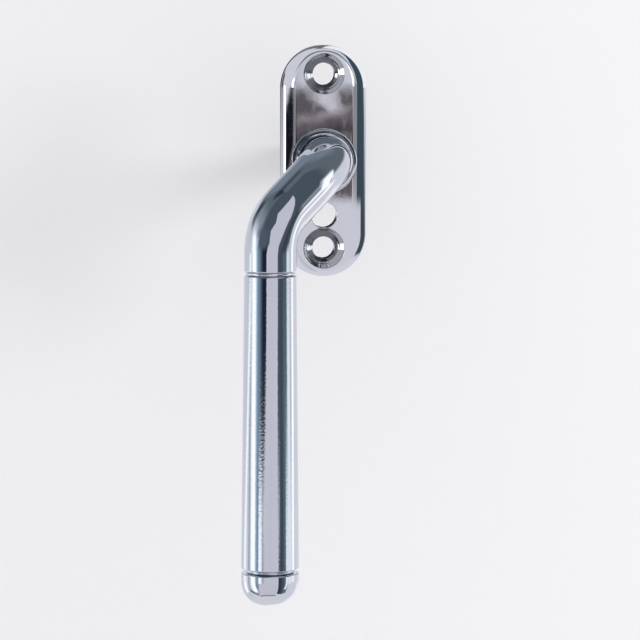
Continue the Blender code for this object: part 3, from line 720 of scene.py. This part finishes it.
def relief(tree, height, depth, normal):
    """A surface raised by the height, in millimetres of depth."""
    bump = tree.nodes.new("ShaderNodeBump")
    bump.inputs["Strength"].default_value = 1.0
    bump.inputs["Distance"].default_value = depth * MM
    tree.links.new(height, bump.inputs["Height"])
    if normal is not None:
        tree.links.new(normal, bump.inputs["Normal"])
    return bump.outputs[0]


def edge_wear(tree, radius):
    """A mask of the edges that handling rubs, and the normal that softens them."""
    bevel = tree.nodes.new("ShaderNodeBevel")
    bevel.samples = 4
    bevel.inputs["Radius"].default_value = radius * MM
    turned = tree.nodes.new("ShaderNodeVectorMath")
    turned.operation = "DOT_PRODUCT"
    tree.links.new(bevel.outputs[0], turned.inputs[0])
    tree.links.new(tree.nodes.new("ShaderNodeNewGeometry").outputs["True Normal"], turned.inputs[1])
    return smooth_step(tree, turned.outputs["Value"], 0.99, 0.85), bevel.outputs[0]


def turned_rings(tree, place, offset, radius):
    """Fine grooves round axes at this height above and below the hub, and a mask of their discs."""
    split = tree.nodes.new("ShaderNodeSeparateXYZ")
    tree.links.new(place, split.inputs[0])
    height = math_node(tree, "ABSOLUTE", split.outputs["Z"])
    rise = math_node(tree, "SUBTRACT", height, offset * MM)
    squares = [math_node(tree, "MULTIPLY", value, value) for value in (split.outputs["X"], rise)]
    away = math_node(tree, "SQRT", math_node(tree, "ADD", *squares))
    grooves = math_node(tree, "SINE", math_node(tree, "MULTIPLY", away, TURNED_SCALE * 2 * math.pi / MM))
    inside = smooth_step(tree, away, (radius + 0.1) * MM, radius * MM)
    return math_node(tree, "MULTIPLY", grooves, inside), inside


def surface(name, bright, dull, polish, haze, metallic=1.0, reliefs=(), wear=None, turned=None):
    """A finish whose tint and roughness drift in clouds, with fine scratches and its own relief.

    Each relief is (bumps in a millimetre, depth in millimetres, stretch), and turned describes the
    turned grooves, if there are any, and the tint laid over their discs, which on the countersinks is
    painted shade.
    """
    material = bpy.data.materials.new(name)
    material.use_nodes = True
    tree = material.node_tree
    shader = tree.nodes["Principled BSDF"]
    shader.inputs["Metallic"].default_value = metallic
    place = tree.nodes.new("ShaderNodeTexCoord").outputs["Object"]
    clouds = smooth_step(tree, noise(tree, place, CLOUD_SCALE, 4.0), 0.3, 0.7)
    smudges = smooth_step(tree, noise(tree, place, SMUDGE_SCALE, 6.0, SMUDGE_STRETCH), 0.4, 0.75)
    scratches = smooth_step(tree, noise(tree, place, SCRATCH_SCALE, 2.0, SCRATCH_STRETCH), 0.62, 0.74)
    tint = mix_colour(tree, clouds, (*bright, 1.0), (*dull, 1.0))
    faint = math_node(tree, "MULTIPLY", scratches, SCRATCH_STRENGTH)
    tint = mix_colour(tree, faint, tint, (*(level * SCRATCH_SHADE for level in dull), 1.0))
    roughness = math_node(tree, "MULTIPLY_ADD", smudges, haze - polish, polish)
    roughness = math_node(tree, "MULTIPLY_ADD", scratches, haze * 0.5, roughness)
    normal = None
    if wear:
        rubbed, normal = edge_wear(tree, wear)
        tint = mix_colour(tree, rubbed, tint, (*(min(1.0, level * RUBBED_SHINE) for level in bright), 1.0))
        roughness = math_node(tree, "MULTIPLY_ADD", rubbed, (polish - haze) * 0.6, roughness)
    for scale, depth, stretch in reliefs:
        normal = relief(tree, noise(tree, place, scale, 2.0, stretch), depth, normal)
    if turned:
        offset, radius, depth, disc_tone_and_shade = turned
        rings, inside = turned_rings(tree, place, offset, radius)
        # The tint is laid inside the discs: on the countersinks it is painted shade that darkens the recess.
        tint = mix_colour(tree, inside, tint, (*disc_tone_and_shade, 1.0))
        normal = relief(tree, rings, depth, normal)
    tree.links.new(tint, shader.inputs["Base Color"])
    tree.links.new(roughness, shader.inputs["Roughness"])
    if normal is not None:
        tree.links.new(normal, shader.inputs["Normal"])
    return material


# The turned faces, as their grooves' (height above and below the hub, outer radius, depth, tint).
# The seats' tint is painted shade that darkens the countersinks; the collar's is a slightly darker tone.
SHADED_SEATS = (SCREW_SPACING / 2, COUNTERSINK_RADIUS, 0.0025, (0.43, 0.44, 0.46))
COLLAR_FACE = (0.0, COLLAR_RADIUS + 1.0, 0.006, (0.74, 0.76, 0.80))
CHROME = {"bright": (0.80, 0.82, 0.85), "dull": (0.78, 0.80, 0.845), "polish": 0.012, "haze": 0.035}


def make_finishes():
    """One procedural finish for each kind of metal or plastic, by name."""
    even = (1.0, 1.0, 1.0)
    chrome_reliefs = [(0.09, 0.006, even), (0.5, 0.0006, even)]
    plate_reliefs = [(0.11, 0.004, (1.0, 1.0, 0.7)), (0.45, 0.0004, even)]
    grip_reliefs = [(0.1, 0.003, even), (1.8, 0.008, even), (4.0, 0.003, even)]
    return {
        "mirror_chrome": surface("mirror_chrome", reliefs=chrome_reliefs, **CHROME),
        "cast_chrome_seat_shade": surface("cast_chrome_seat_shade", reliefs=plate_reliefs, turned=SHADED_SEATS, **CHROME),
        "turned_chrome": surface("turned_chrome", reliefs=chrome_reliefs, turned=COLLAR_FACE, **CHROME),
        "grip_chrome": surface("grip_chrome", reliefs=grip_reliefs, **CHROME),
        "zinc_plating": surface(
            "zinc_plating",
            (0.60, 0.61, 0.60),
            (0.47, 0.47, 0.44),
            0.22,
            0.42,
            reliefs=[(2.5, 0.003, even), (6.0, 0.002, (1.0, 1.0, 0.08))],
            wear=0.25,
        ),
        "drawn_steel": surface(
            "drawn_steel",
            (0.30, 0.30, 0.32),
            (0.20, 0.19, 0.19),
            0.24,
            0.40,
            reliefs=[(5.0, 0.002, (1.0, 0.1, 1.0))],
            wear=0.15,
        ),
        "ground_steel": surface(
            "ground_steel", (0.64, 0.65, 0.67), (0.56, 0.56, 0.57), 0.05, 0.14, reliefs=[(8.0, 0.0005, even)]
        ),
        # Black nylon for the bearing bush; its black also stands in for shade where the bush shows in the
        # gap between crank and collar.
        "black_nylon_gap_shade": surface(
            "black_nylon_gap_shade",
            (0.050, 0.050, 0.054),
            (0.036, 0.036, 0.040),
            0.38,
            0.55,
            metallic=0.0,
            reliefs=[(3.0, 0.004, even)],
            wear=0.2,
        ),
    }


CARRIED_FINISHES = {
    "polished_chrome": "mirror_chrome",
    "chromed_zinc": "cast_chrome_seat_shade",
    "zinc_plated_steel": "zinc_plating",
    "spring_steel": "drawn_steel",
    "ball_steel": "ground_steel",
    "bearing_nylon": "black_nylon_gap_shade",
}


def dress_cad_nodes(finishes):
    """Gives every CAD node that stays in view the finish of its material slot."""
    for thing in bpy.context.scene.objects:
        for slot in thing.material_slots:
            if slot.material.name in CARRIED_FINISHES:
                slot.material = finishes[CARRIED_FINISHES[slot.material.name]]


def finish(piece, body, node, finish_name):
    """Joins a piece to its body, in place of its CAD node, with one of the finishes."""
    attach(piece, body)
    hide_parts(node)
    piece.data.materials.clear()
    piece.data.materials.append(FINISHES[finish_name])
    return piece


# ---------------------------------------------------------------- studio

# What polished metal sees round the object. Each patch has spans of azimuth (0 in front, 90 to the
# right) and elevation, as (from, to, softness) in degrees, a lean (sideways shift for each degree up
# from the horizon), a climb (rise for each degree of azimuth from its middle), and the tone that the
# metal shows there, from 0 to 255 for white and beyond that for a lamp. Later patches are painted over
# earlier ones. The flags and panels stand close round the handle, so the lever, the backplate and the
# collar see them from different sides and have a list each.
METAL_REFLECTANCE = 0.82
SURROUND = (202, 202, 210)
ROOM_LIGHT = (0.80, 0.80, 0.815, 1.0)
DOME_RADIUS = 60.0

LEVER_STUDIO = (
    ("ceiling", (-400, 400, 1), (14, 200, 4), 0, 0, (89, 99, 107)),
    ("ceiling_behind_right", (140, 400, 14), (38, 66, 8), 0, 0, (112, 121, 132)),
    ("ceiling_behind_left", (-400, -138, 14), (28, 62, 8), 0, 0, (112, 123, 136)),
    ("ceiling_top_left", (-160, -84, 12), (69, 200, 5), 0, 0, (46, 56, 66)),
    ("dark_corner_left", (-134, -113, 5), (28, 45, 4), 0, 0, (54, 64, 75)),
    ("back_wall_left", (-166, -136, 6), (-45, 28, 4), 0, 0, (197, 199, 208)),
    ("side_wall_left", (-140, -104, 6), (-45, 18, 5), 0, 0, (192, 195, 204)),
    ("side_wall_left_top", (-112, -58, 12), (10, 50, 12), 0, 0, (128, 137, 147)),
    ("front_gloom", (-50, 94, 12), (-7, 200, 1), 0, 0, (68, 79, 88)),
    ("black_flag", (-60, -14, 6), (-7, 9, 4), 0, 0, (26, 31, 42)),
    ("left_gloom", (-80, -45, 13), (-24, 22, 6), 0, 0, (112, 136, 158)),
    ("left_gloom_high", (-60, -20, 10), (4, 30, 5), 0, 0, (76, 87, 97)),
    ("left_wall", (-80, -62, 7), (-34, 17, 7), 0, 0, (190, 205, 218)),
    ("left_wall_low", (-61, -52, 5), (-45, -12, 4), 0, 0, (108, 130, 148)),
    ("left_softbox_glow", (-108, -78, 9), (6, 29, 10), 0, 0, (203, 210, 218)),
    ("left_softbox", (-89, -69, 4), (-36, 19, 6), -0.35, 0, (255, 255, 255)),
    ("left_gap", (-101, -92, 3), (-32, -4.6, 1.5), 0, 0, (150, 162, 182)),
    ("left_crescent", (-98, -62, 5), (-43, -34, 5), 0, -0.6, (52, 60, 74)),
    ("left_strip", (-87, -74, 3), (-10, -3.5, 1), 5, 0, (242, 247, 250)),
    ("left_low_panel", (-132, -110, 5), (-30, -9, 3), 0, 0, (248, 250, 252)),
    ("low_sheet", (-49, 29, 3), (-50, -6.8, 0.4), 0, 0, (190, 189, 199)),
    ("low_sheet_edge", (-50, -37, 2), (-11, -6.9, 0.5), 0, 0, (236, 244, 248)),
    ("low_sheet_shade", (-36, -27, 3), (-10, -7.6, 0.6), 0, 0, (150, 152, 162)),
    ("sheet_foot", (8, 37, 1.5), (-8, -4.4, 0.5), 5.5, 0, (196, 195, 205)),
    ("sheet", (-17, 32, 1.5), (-12, 9, 3), 0.5, 0, (192, 191, 201)),
    ("sheet_side", (-8, 66, 1.5), (2, 44, 2), 0, 0.44, (190, 189, 200)),
    ("sheet_top", (9, 63, 1.5), (20, 53, 2), 0, 0.15, (190, 189, 200)),
    ("right_flag", (40, 90, 3), (-3.4, 6.5, 1.5), 0, 0.44, (56, 65, 73)),
    ("right_flag_low", (38, 60, 5), (-46, -3, 1), 0, 0, (62, 74, 84)),
    ("right_flag_foot", (31, 44, 1.5), (-46, -8, 1), 0, 0, (46, 58, 66)),
    ("right_grey", (54, 72, 3), (-40, -3, 2), 0, 0, (84, 99, 108)),
    ("right_bright", (68, 77, 2), (-26, -7, 2), 0.4, 0, (222, 232, 237)),
    ("right_glow", (74, 92, 4), (-12, -2.5, 2), 0, 0, (218, 226, 233)),
    ("right_line", (88, 101, 2), (-5, -1, 1.2), 0, 0, (190, 197, 206)),
    ("right_softbox_glow", (84, 106, 4), (10, 26, 4), 0, 0, (172, 178, 188)),
    ("right_softbox", (90, 110, 3), (-0.5, 23, 3), 0, 0, (255, 255, 255)),
    ("right_slit", (106, 109, 1.2), (3, 10, 2), 0, 0, (150, 150, 158)),
    ("right_panel", (109, 124, 3), (-10, -1, 1), 1.5, 0, (253, 253, 253)),
    ("back_wall_right", (130, 400, 6), (-46, -11, 3), 0, 0, (228, 230, 234)),
    ("floor_line", (-62, 30, 6), (-59, -51, 2), 0, 0, (136, 136, 146)),
)

PLATE_STUDIO = (
    ("zenith", (-400, 400, 1), (80, 200, 4), 0, 0, (96, 99, 106)),
    ("behind_top_right", (148, 400, 8), (20, 90, 6), 0, 0, (104, 107, 114)),
    ("behind_top_left", (-400, -150, 8), (20, 90, 6), 0, 0, (104, 107, 114)),
    ("left_outline", (-150, -102, 5), (-1.2, 18, 2), 0, 0, (84, 86, 94)),
    ("behind_low_left", (-400, -168, 3), (-2, 14, 2), 0, 0, (30, 34, 40)),
    ("behind_low_right", (168, 400, 3), (-2, 14, 2), 0, 0, (30, 34, 40)),
    ("neck_shade", (-14, 20, 4), (9, 34, 3), 0, 0, (96, 104, 112)),
    ("right_wall", (30, 96, 3), (-400, 62, 5), 0, 1.2, (58, 73, 81)),
    ("right_fade", (20, 29, 2), (-2.6, 8, 1.5), 0, 0, (166, 168, 174)),
    ("right_light", (84, 170, 4), (-0.6, 200, 0.8), 0, 0, (238, 238, 241)),
    ("right_haze", (7, 30, 2), (-2.9, 1.6, 1.0), 0, 0, (138, 135, 138)),
    ("left_haze", (-34, 2.4, 2), (-1.4, 1.6, 1.0), 0, 0, (164, 162, 168)),
    ("seat_glint_left", (-21, -13, 1.5), (-0.2, 4.6, 0.4), 0, 0, (520, 520, 520)),
    ("seat_glint_right", (7, 13, 1.2), (-0.2, 3.6, 0.4), 0, 0, (480, 480, 480)),
    ("wedge_foot", (-74, -9, 3), (-2.6, -2.0, 0.2), 0, 0, (112, 114, 120)),
    ("left_wedge", (-66, -13, 2.5), (-2.2, -0.8, 0.2), 0, 0.01, (18, 21, 28)),
    ("dark_patch", (-12, 4.05, 0.12), (-2.85, -0.74, 0.12), 0, 0, (90, 84, 87)),
    ("pale_streak", (2.6, 3.9, 0.15), (-1.35, -1.2, 0.08), 0, 0.28, (138, 132, 136)),
    ("dark_streak", (2.4, 4.0, 0.15), (-1.75, -1.55, 0.1), 0, 0.3, (62, 57, 60)),
    ("light_lobe", (3.30, 3.66, 0.10), (-1.06, 0.2, 0.05), 0, -0.5, (196, 192, 199)),
    ("glint", (-4.2, -2.7, 0.2), (-4.6, 0.2, 0.4), 0, 0, (255, 255, 255)),
    ("light_strip", (4.15, 5.6, 0.25), (-2.4, 1.0, 0.5), 0, 0, (186, 180, 186)),
    ("table", (-400, 62, 3), (-200, -2.85, 0.15), 0, 0, (201, 199, 208)),
    ("side_glint", (-88, -72, 4), (-18, 2.2, 1), 0, 0, (380, 380, 380)),
    ("table_glint", (-4.2, -2.7, 0.2), (-4.6, -2.8, 0.4), 0, 0, (255, 255, 255)),
    ("right_foot", (60, 122, 3), (-30, -2.0, 1.5), 0, 0, (60, 72, 80)),
    ("floor", (-400, 400, 1), (-200, -34, 4), 0, 0, (206, 205, 212)),
)

COLLAR_STUDIO = (
    ("dark_room", (-150, 40, 8), (-5, 90, 3), 0, 0, (60, 70, 78)),
    ("dark_corner", (-60, 20, 8), (-2, 40, 3), 0, 0, (42, 50, 58)),
    ("upper_strip", (-400, 400, 1), (17, 22, 1.5), 0, 0, (150, 156, 163)),
    ("lower_shade", (-400, 400, 1), (-34, -22, 3), 0, 0, (92, 98, 106)),
    ("left_glint", (-106, -62, 6), (-14, 8, 4), 0, 0, (255, 255, 255)),
    ("right_glint", (52, 112, 6), (-12, 12, 4), 0, 0, (250, 250, 250)),
)

# How unevenly the patches' edges run: (bumps round the sky, degrees sideways, degrees upwards).
WIDE_WARPS = ((14.0, 2.5, 0.0), (55.0, 2.2, 1.4))
FINE_WARPS = ((90.0, 0.35, 0.25), (300.0, 0.25, 0.12))


def metal_light(tone):
    """The light that makes polished metal show a display tone of 0 to 255."""
    linear = [((level / 255 + 0.055) / 1.055) ** 2.4 for level in tone]
    return (*(value / METAL_REFLECTANCE for value in linear), 1.0)


def span_mask(tree, value, span):
    start, end, softness = span
    rising = smooth_step(tree, value, start - softness, start + softness)
    falling = smooth_step(tree, value, end + softness, end - softness)
    return math_node(tree, "MULTIPLY", rising, falling)


def painted_sky(tree, place, patches, warps):
    """Colours for every direction from the object, made of the studio's patches with wavy edges."""
    split = tree.nodes.new("ShaderNodeSeparateXYZ")
    tree.links.new(place, split.inputs[0])
    forward = math_node(tree, "MULTIPLY", split.outputs["Y"], -1.0)
    azimuth = math_node(tree, "DEGREES", math_node(tree, "ARCTAN2", split.outputs["X"], forward))
    elevation = math_node(tree, "DEGREES", math_node(tree, "ARCSINE", split.outputs["Z"]))
    for scale, sideways, upwards in warps:
        warp = tree.nodes.new("ShaderNodeTexNoise")
        warp.inputs["Scale"].default_value = scale
        tree.links.new(place, warp.inputs["Vector"])
        shift = tree.nodes.new("ShaderNodeSeparateColor")
        tree.links.new(warp.outputs["Color"], shift.inputs[0])
        centred = [math_node(tree, "SUBTRACT", shift.outputs[i], 0.5) for i in range(2)]
        azimuth = math_node(tree, "MULTIPLY_ADD", centred[0], sideways, azimuth)
        elevation = math_node(tree, "MULTIPLY_ADD", centred[1], upwards, elevation)
    seen = metal_light(SURROUND)
    for _, azimuth_span, elevation_span, lean, climb, tone in patches:
        middle = (azimuth_span[0] + azimuth_span[1]) / 2
        leaning = math_node(tree, "MULTIPLY_ADD", elevation, -lean, azimuth)
        offset = math_node(tree, "SUBTRACT", azimuth, middle)
        climbing = math_node(tree, "MULTIPLY_ADD", offset, -climb, elevation)
        across = span_mask(tree, leaning, azimuth_span)
        up = span_mask(tree, climbing, elevation_span)
        seen = mix_colour(tree, math_node(tree, "MULTIPLY", across, up), seen, metal_light(tone))
    return seen


def make_dome(name, radius, patches, warps, lit_objects):
    """A far, see-through sphere of light that only reflections in the named objects show."""
    shape = bmesh.new()
    bmesh.ops.create_icosphere(shape, subdivisions=3, radius=radius)
    mesh = bpy.data.meshes.new(name)
    shape.to_mesh(mesh)
    shape.free()
    dome = bpy.data.objects.new(name, mesh)
    bpy.context.scene.collection.objects.link(dome)
    material = bpy.data.materials.new(name)
    material.use_nodes = True
    material.cycles.emission_sampling = "NONE"
    tree = material.node_tree
    tree.nodes.clear()
    direction = tree.nodes.new("ShaderNodeVectorMath")
    direction.operation = "NORMALIZE"
    tree.links.new(tree.nodes.new("ShaderNodeNewGeometry").outputs["Position"], direction.inputs[0])
    glow = tree.nodes.new("ShaderNodeEmission")
    tree.links.new(painted_sky(tree, direction.outputs[0], patches, warps), glow.inputs["Color"])
    both = tree.nodes.new("ShaderNodeAddShader")
    tree.links.new(glow.outputs[0], both.inputs[0])
    tree.links.new(tree.nodes.new("ShaderNodeBsdfTransparent").outputs[0], both.inputs[1])
    output = tree.nodes.new("ShaderNodeOutputMaterial")
    tree.links.new(both.outputs[0], output.inputs["Surface"])
    mesh.materials.append(material)
    dome.visible_camera = False
    dome.visible_diffuse = False
    dome.visible_shadow = False
    receivers = bpy.data.collections.new(name + "_sees")
    for lit in lit_objects:
        receivers.objects.link(lit)
    dome.light_linking.receiver_collection = receivers


def make_world():
    """Even light for everything but reflections, which show the domes."""
    world = bpy.data.worlds.new("studio")
    bpy.context.scene.world = world
    world.use_nodes = True
    world.cycles.sampling_method = "NONE"
    tree = world.node_tree
    is_glossy = tree.nodes.new("ShaderNodeLightPath").outputs["Is Glossy Ray"]
    light = mix_colour(tree, is_glossy, ROOM_LIGHT, (0.0, 0.0, 0.0, 1.0))
    tree.links.new(light, tree.nodes["Background"].inputs["Color"])


WALL_TINT = (0.940, 0.937, 0.944)
WALL_BACK = 38.0
FLOOR_DROP = -230.0
# Each lamp has its place in millimetres, its size in metres and its power in watts.
LAMPS = (
    ((1240.0, -660.0, 290.0), 0.55, 6.0),
    ((700.0, -1100.0, -600.0), 0.8, 4.0),
)


def paper_finish(name, see_through_back):
    """Matt white paper with a faint mottle, which can be looked through from behind."""
    material = bpy.data.materials.new(name)
    material.use_nodes = True
    tree = material.node_tree
    shader = tree.nodes["Principled BSDF"]
    place = tree.nodes.new("ShaderNodeTexCoord").outputs["Object"]
    mottle = noise(tree, place, 0.008)
    warm = (WALL_TINT[0] * 0.99, WALL_TINT[1] * 0.985, WALL_TINT[2] * 0.985, 1.0)
    tree.links.new(mix_colour(tree, mottle, (*WALL_TINT, 1.0), warm), shader.inputs["Base Color"])
    shader.inputs["Roughness"].default_value = 1.0
    shader.inputs["Specular IOR Level"].default_value = 0.0
    if see_through_back:
        both = tree.nodes.new("ShaderNodeMixShader")
        tree.links.new(tree.nodes.new("ShaderNodeNewGeometry").outputs["Backfacing"], both.inputs[0])
        tree.links.new(shader.outputs[0], both.inputs[1])
        tree.links.new(tree.nodes.new("ShaderNodeBsdfTransparent").outputs[0], both.inputs[2])
        tree.links.new(both.outputs[0], tree.nodes["Material Output"].inputs["Surface"])
    return material


def make_sheet(name, corners, material):
    mesh = bpy.data.meshes.new(name)
    mesh.from_pydata([Vector(corner) * MM for corner in corners], [], [range(4)])
    mesh.materials.append(material)
    sheet = bpy.data.objects.new(name, mesh)
    bpy.context.scene.collection.objects.link(sheet)
    sheet.visible_glossy = False
    return sheet


def make_backdrop():
    """A pale wall close behind the handle, a pale floor, and the soft lamps that light only these."""
    half = 300.0
    low = FLOOR_DROP
    wall_outline = ((-half, low), (half, low), (half, half), (-half, half))
    wall_corners = [(x, WALL_BACK, z) for x, z in wall_outline]
    wall = make_sheet("backdrop", wall_corners, paper_finish("backdrop_paper", True))
    reach = 3000.0
    floor_corners = ((-reach, -reach, low), (reach, -reach, low), (reach, reach, low), (-reach, reach, low))
    floor = make_sheet("floor", floor_corners, paper_finish("floor_paper", False))
    receivers = bpy.data.collections.new("lamps_light")
    receivers.objects.link(wall)
    receivers.objects.link(floor)
    for number, (spot, size, power) in enumerate(LAMPS, 1):
        data = bpy.data.lights.new(f"soft_lamp_{number}", "AREA")
        data.shape = "DISK"
        data.size = size
        data.energy = power
        lamp = bpy.data.objects.new(data.name, data)
        bpy.context.scene.collection.objects.link(lamp)
        lamp.location = Vector(spot) * MM
        lamp.rotation_euler = Vector(spot).to_track_quat("Z", "Y").to_euler()
        lamp.light_linking.receiver_collection = receivers


# ---------------------------------------------------------------- camera

CAMERA_TARGET = Vector((-0.5, 0.0, -40.0)) * MM
CAMERA_AZIMUTH = math.radians(-3.4)
CAMERA_ELEVATION = math.radians(5.0)
CAMERA_ROLL = math.radians(0.12)
CAMERA_DISTANCE = 0.781
CAMERA_LENS = 175.5


def make_camera():
    data = bpy.data.cameras.new("camera")
    data.sensor_width = 36.0
    data.lens = CAMERA_LENS
    data.clip_start = 0.01
    data.clip_end = 50.0
    camera = bpy.data.objects.new("camera", data)
    bpy.context.scene.collection.objects.link(camera)
    level = math.cos(CAMERA_ELEVATION)
    back = Vector(
        (math.sin(CAMERA_AZIMUTH) * level, -math.cos(CAMERA_AZIMUTH) * level, math.sin(CAMERA_ELEVATION))
    )
    turn = (-back).to_track_quat("-Z", "Y").to_matrix() @ Matrix.Rotation(CAMERA_ROLL, 3, "Z")
    camera.location = CAMERA_TARGET + back * CAMERA_DISTANCE
    camera.rotation_euler = turn.to_euler()
    bpy.context.scene.camera = camera


FINISHES = make_finishes()
dress_cad_nodes(FINISHES)
LEVER_PIECES = [
    finish(build_crank(), "lever", "crank", "mirror_chrome"),
    finish(build_joint_ring("joint_ring_upper", UPPER_JOINT), "lever", "upper_joint_ring", "mirror_chrome"),
    finish(build_grip_sleeve(), "lever", "grip_sleeve", "grip_chrome"),
    finish(build_joint_ring("joint_ring_lower", LOWER_JOINT), "lever", "lower_joint_ring", "mirror_chrome"),
    finish(build_end_cap(), "lever", "end_cap", "mirror_chrome"),
]
finish(build_backplate(), "mounting", "backplate", "cast_chrome_seat_shade")
COLLAR = finish(build_collar(), "mounting", "collar_ring", "turned_chrome")
FIXED_PIECES = [
    thing
    for thing in bpy.context.scene.objects
    if thing.type == "MESH" and thing not in LEVER_PIECES and thing != COLLAR
]
make_dome("lever_studio", DOME_RADIUS, LEVER_STUDIO, WIDE_WARPS, LEVER_PIECES)
make_dome("plate_studio", DOME_RADIUS + 1.0, PLATE_STUDIO, FINE_WARPS, FIXED_PIECES)
make_dome("collar_studio", DOME_RADIUS + 2.0, COLLAR_STUDIO, WIDE_WARPS, [COLLAR])
make_world()
make_backdrop()
bpy.context.scene.view_settings.view_transform = "Standard"
make_camera()
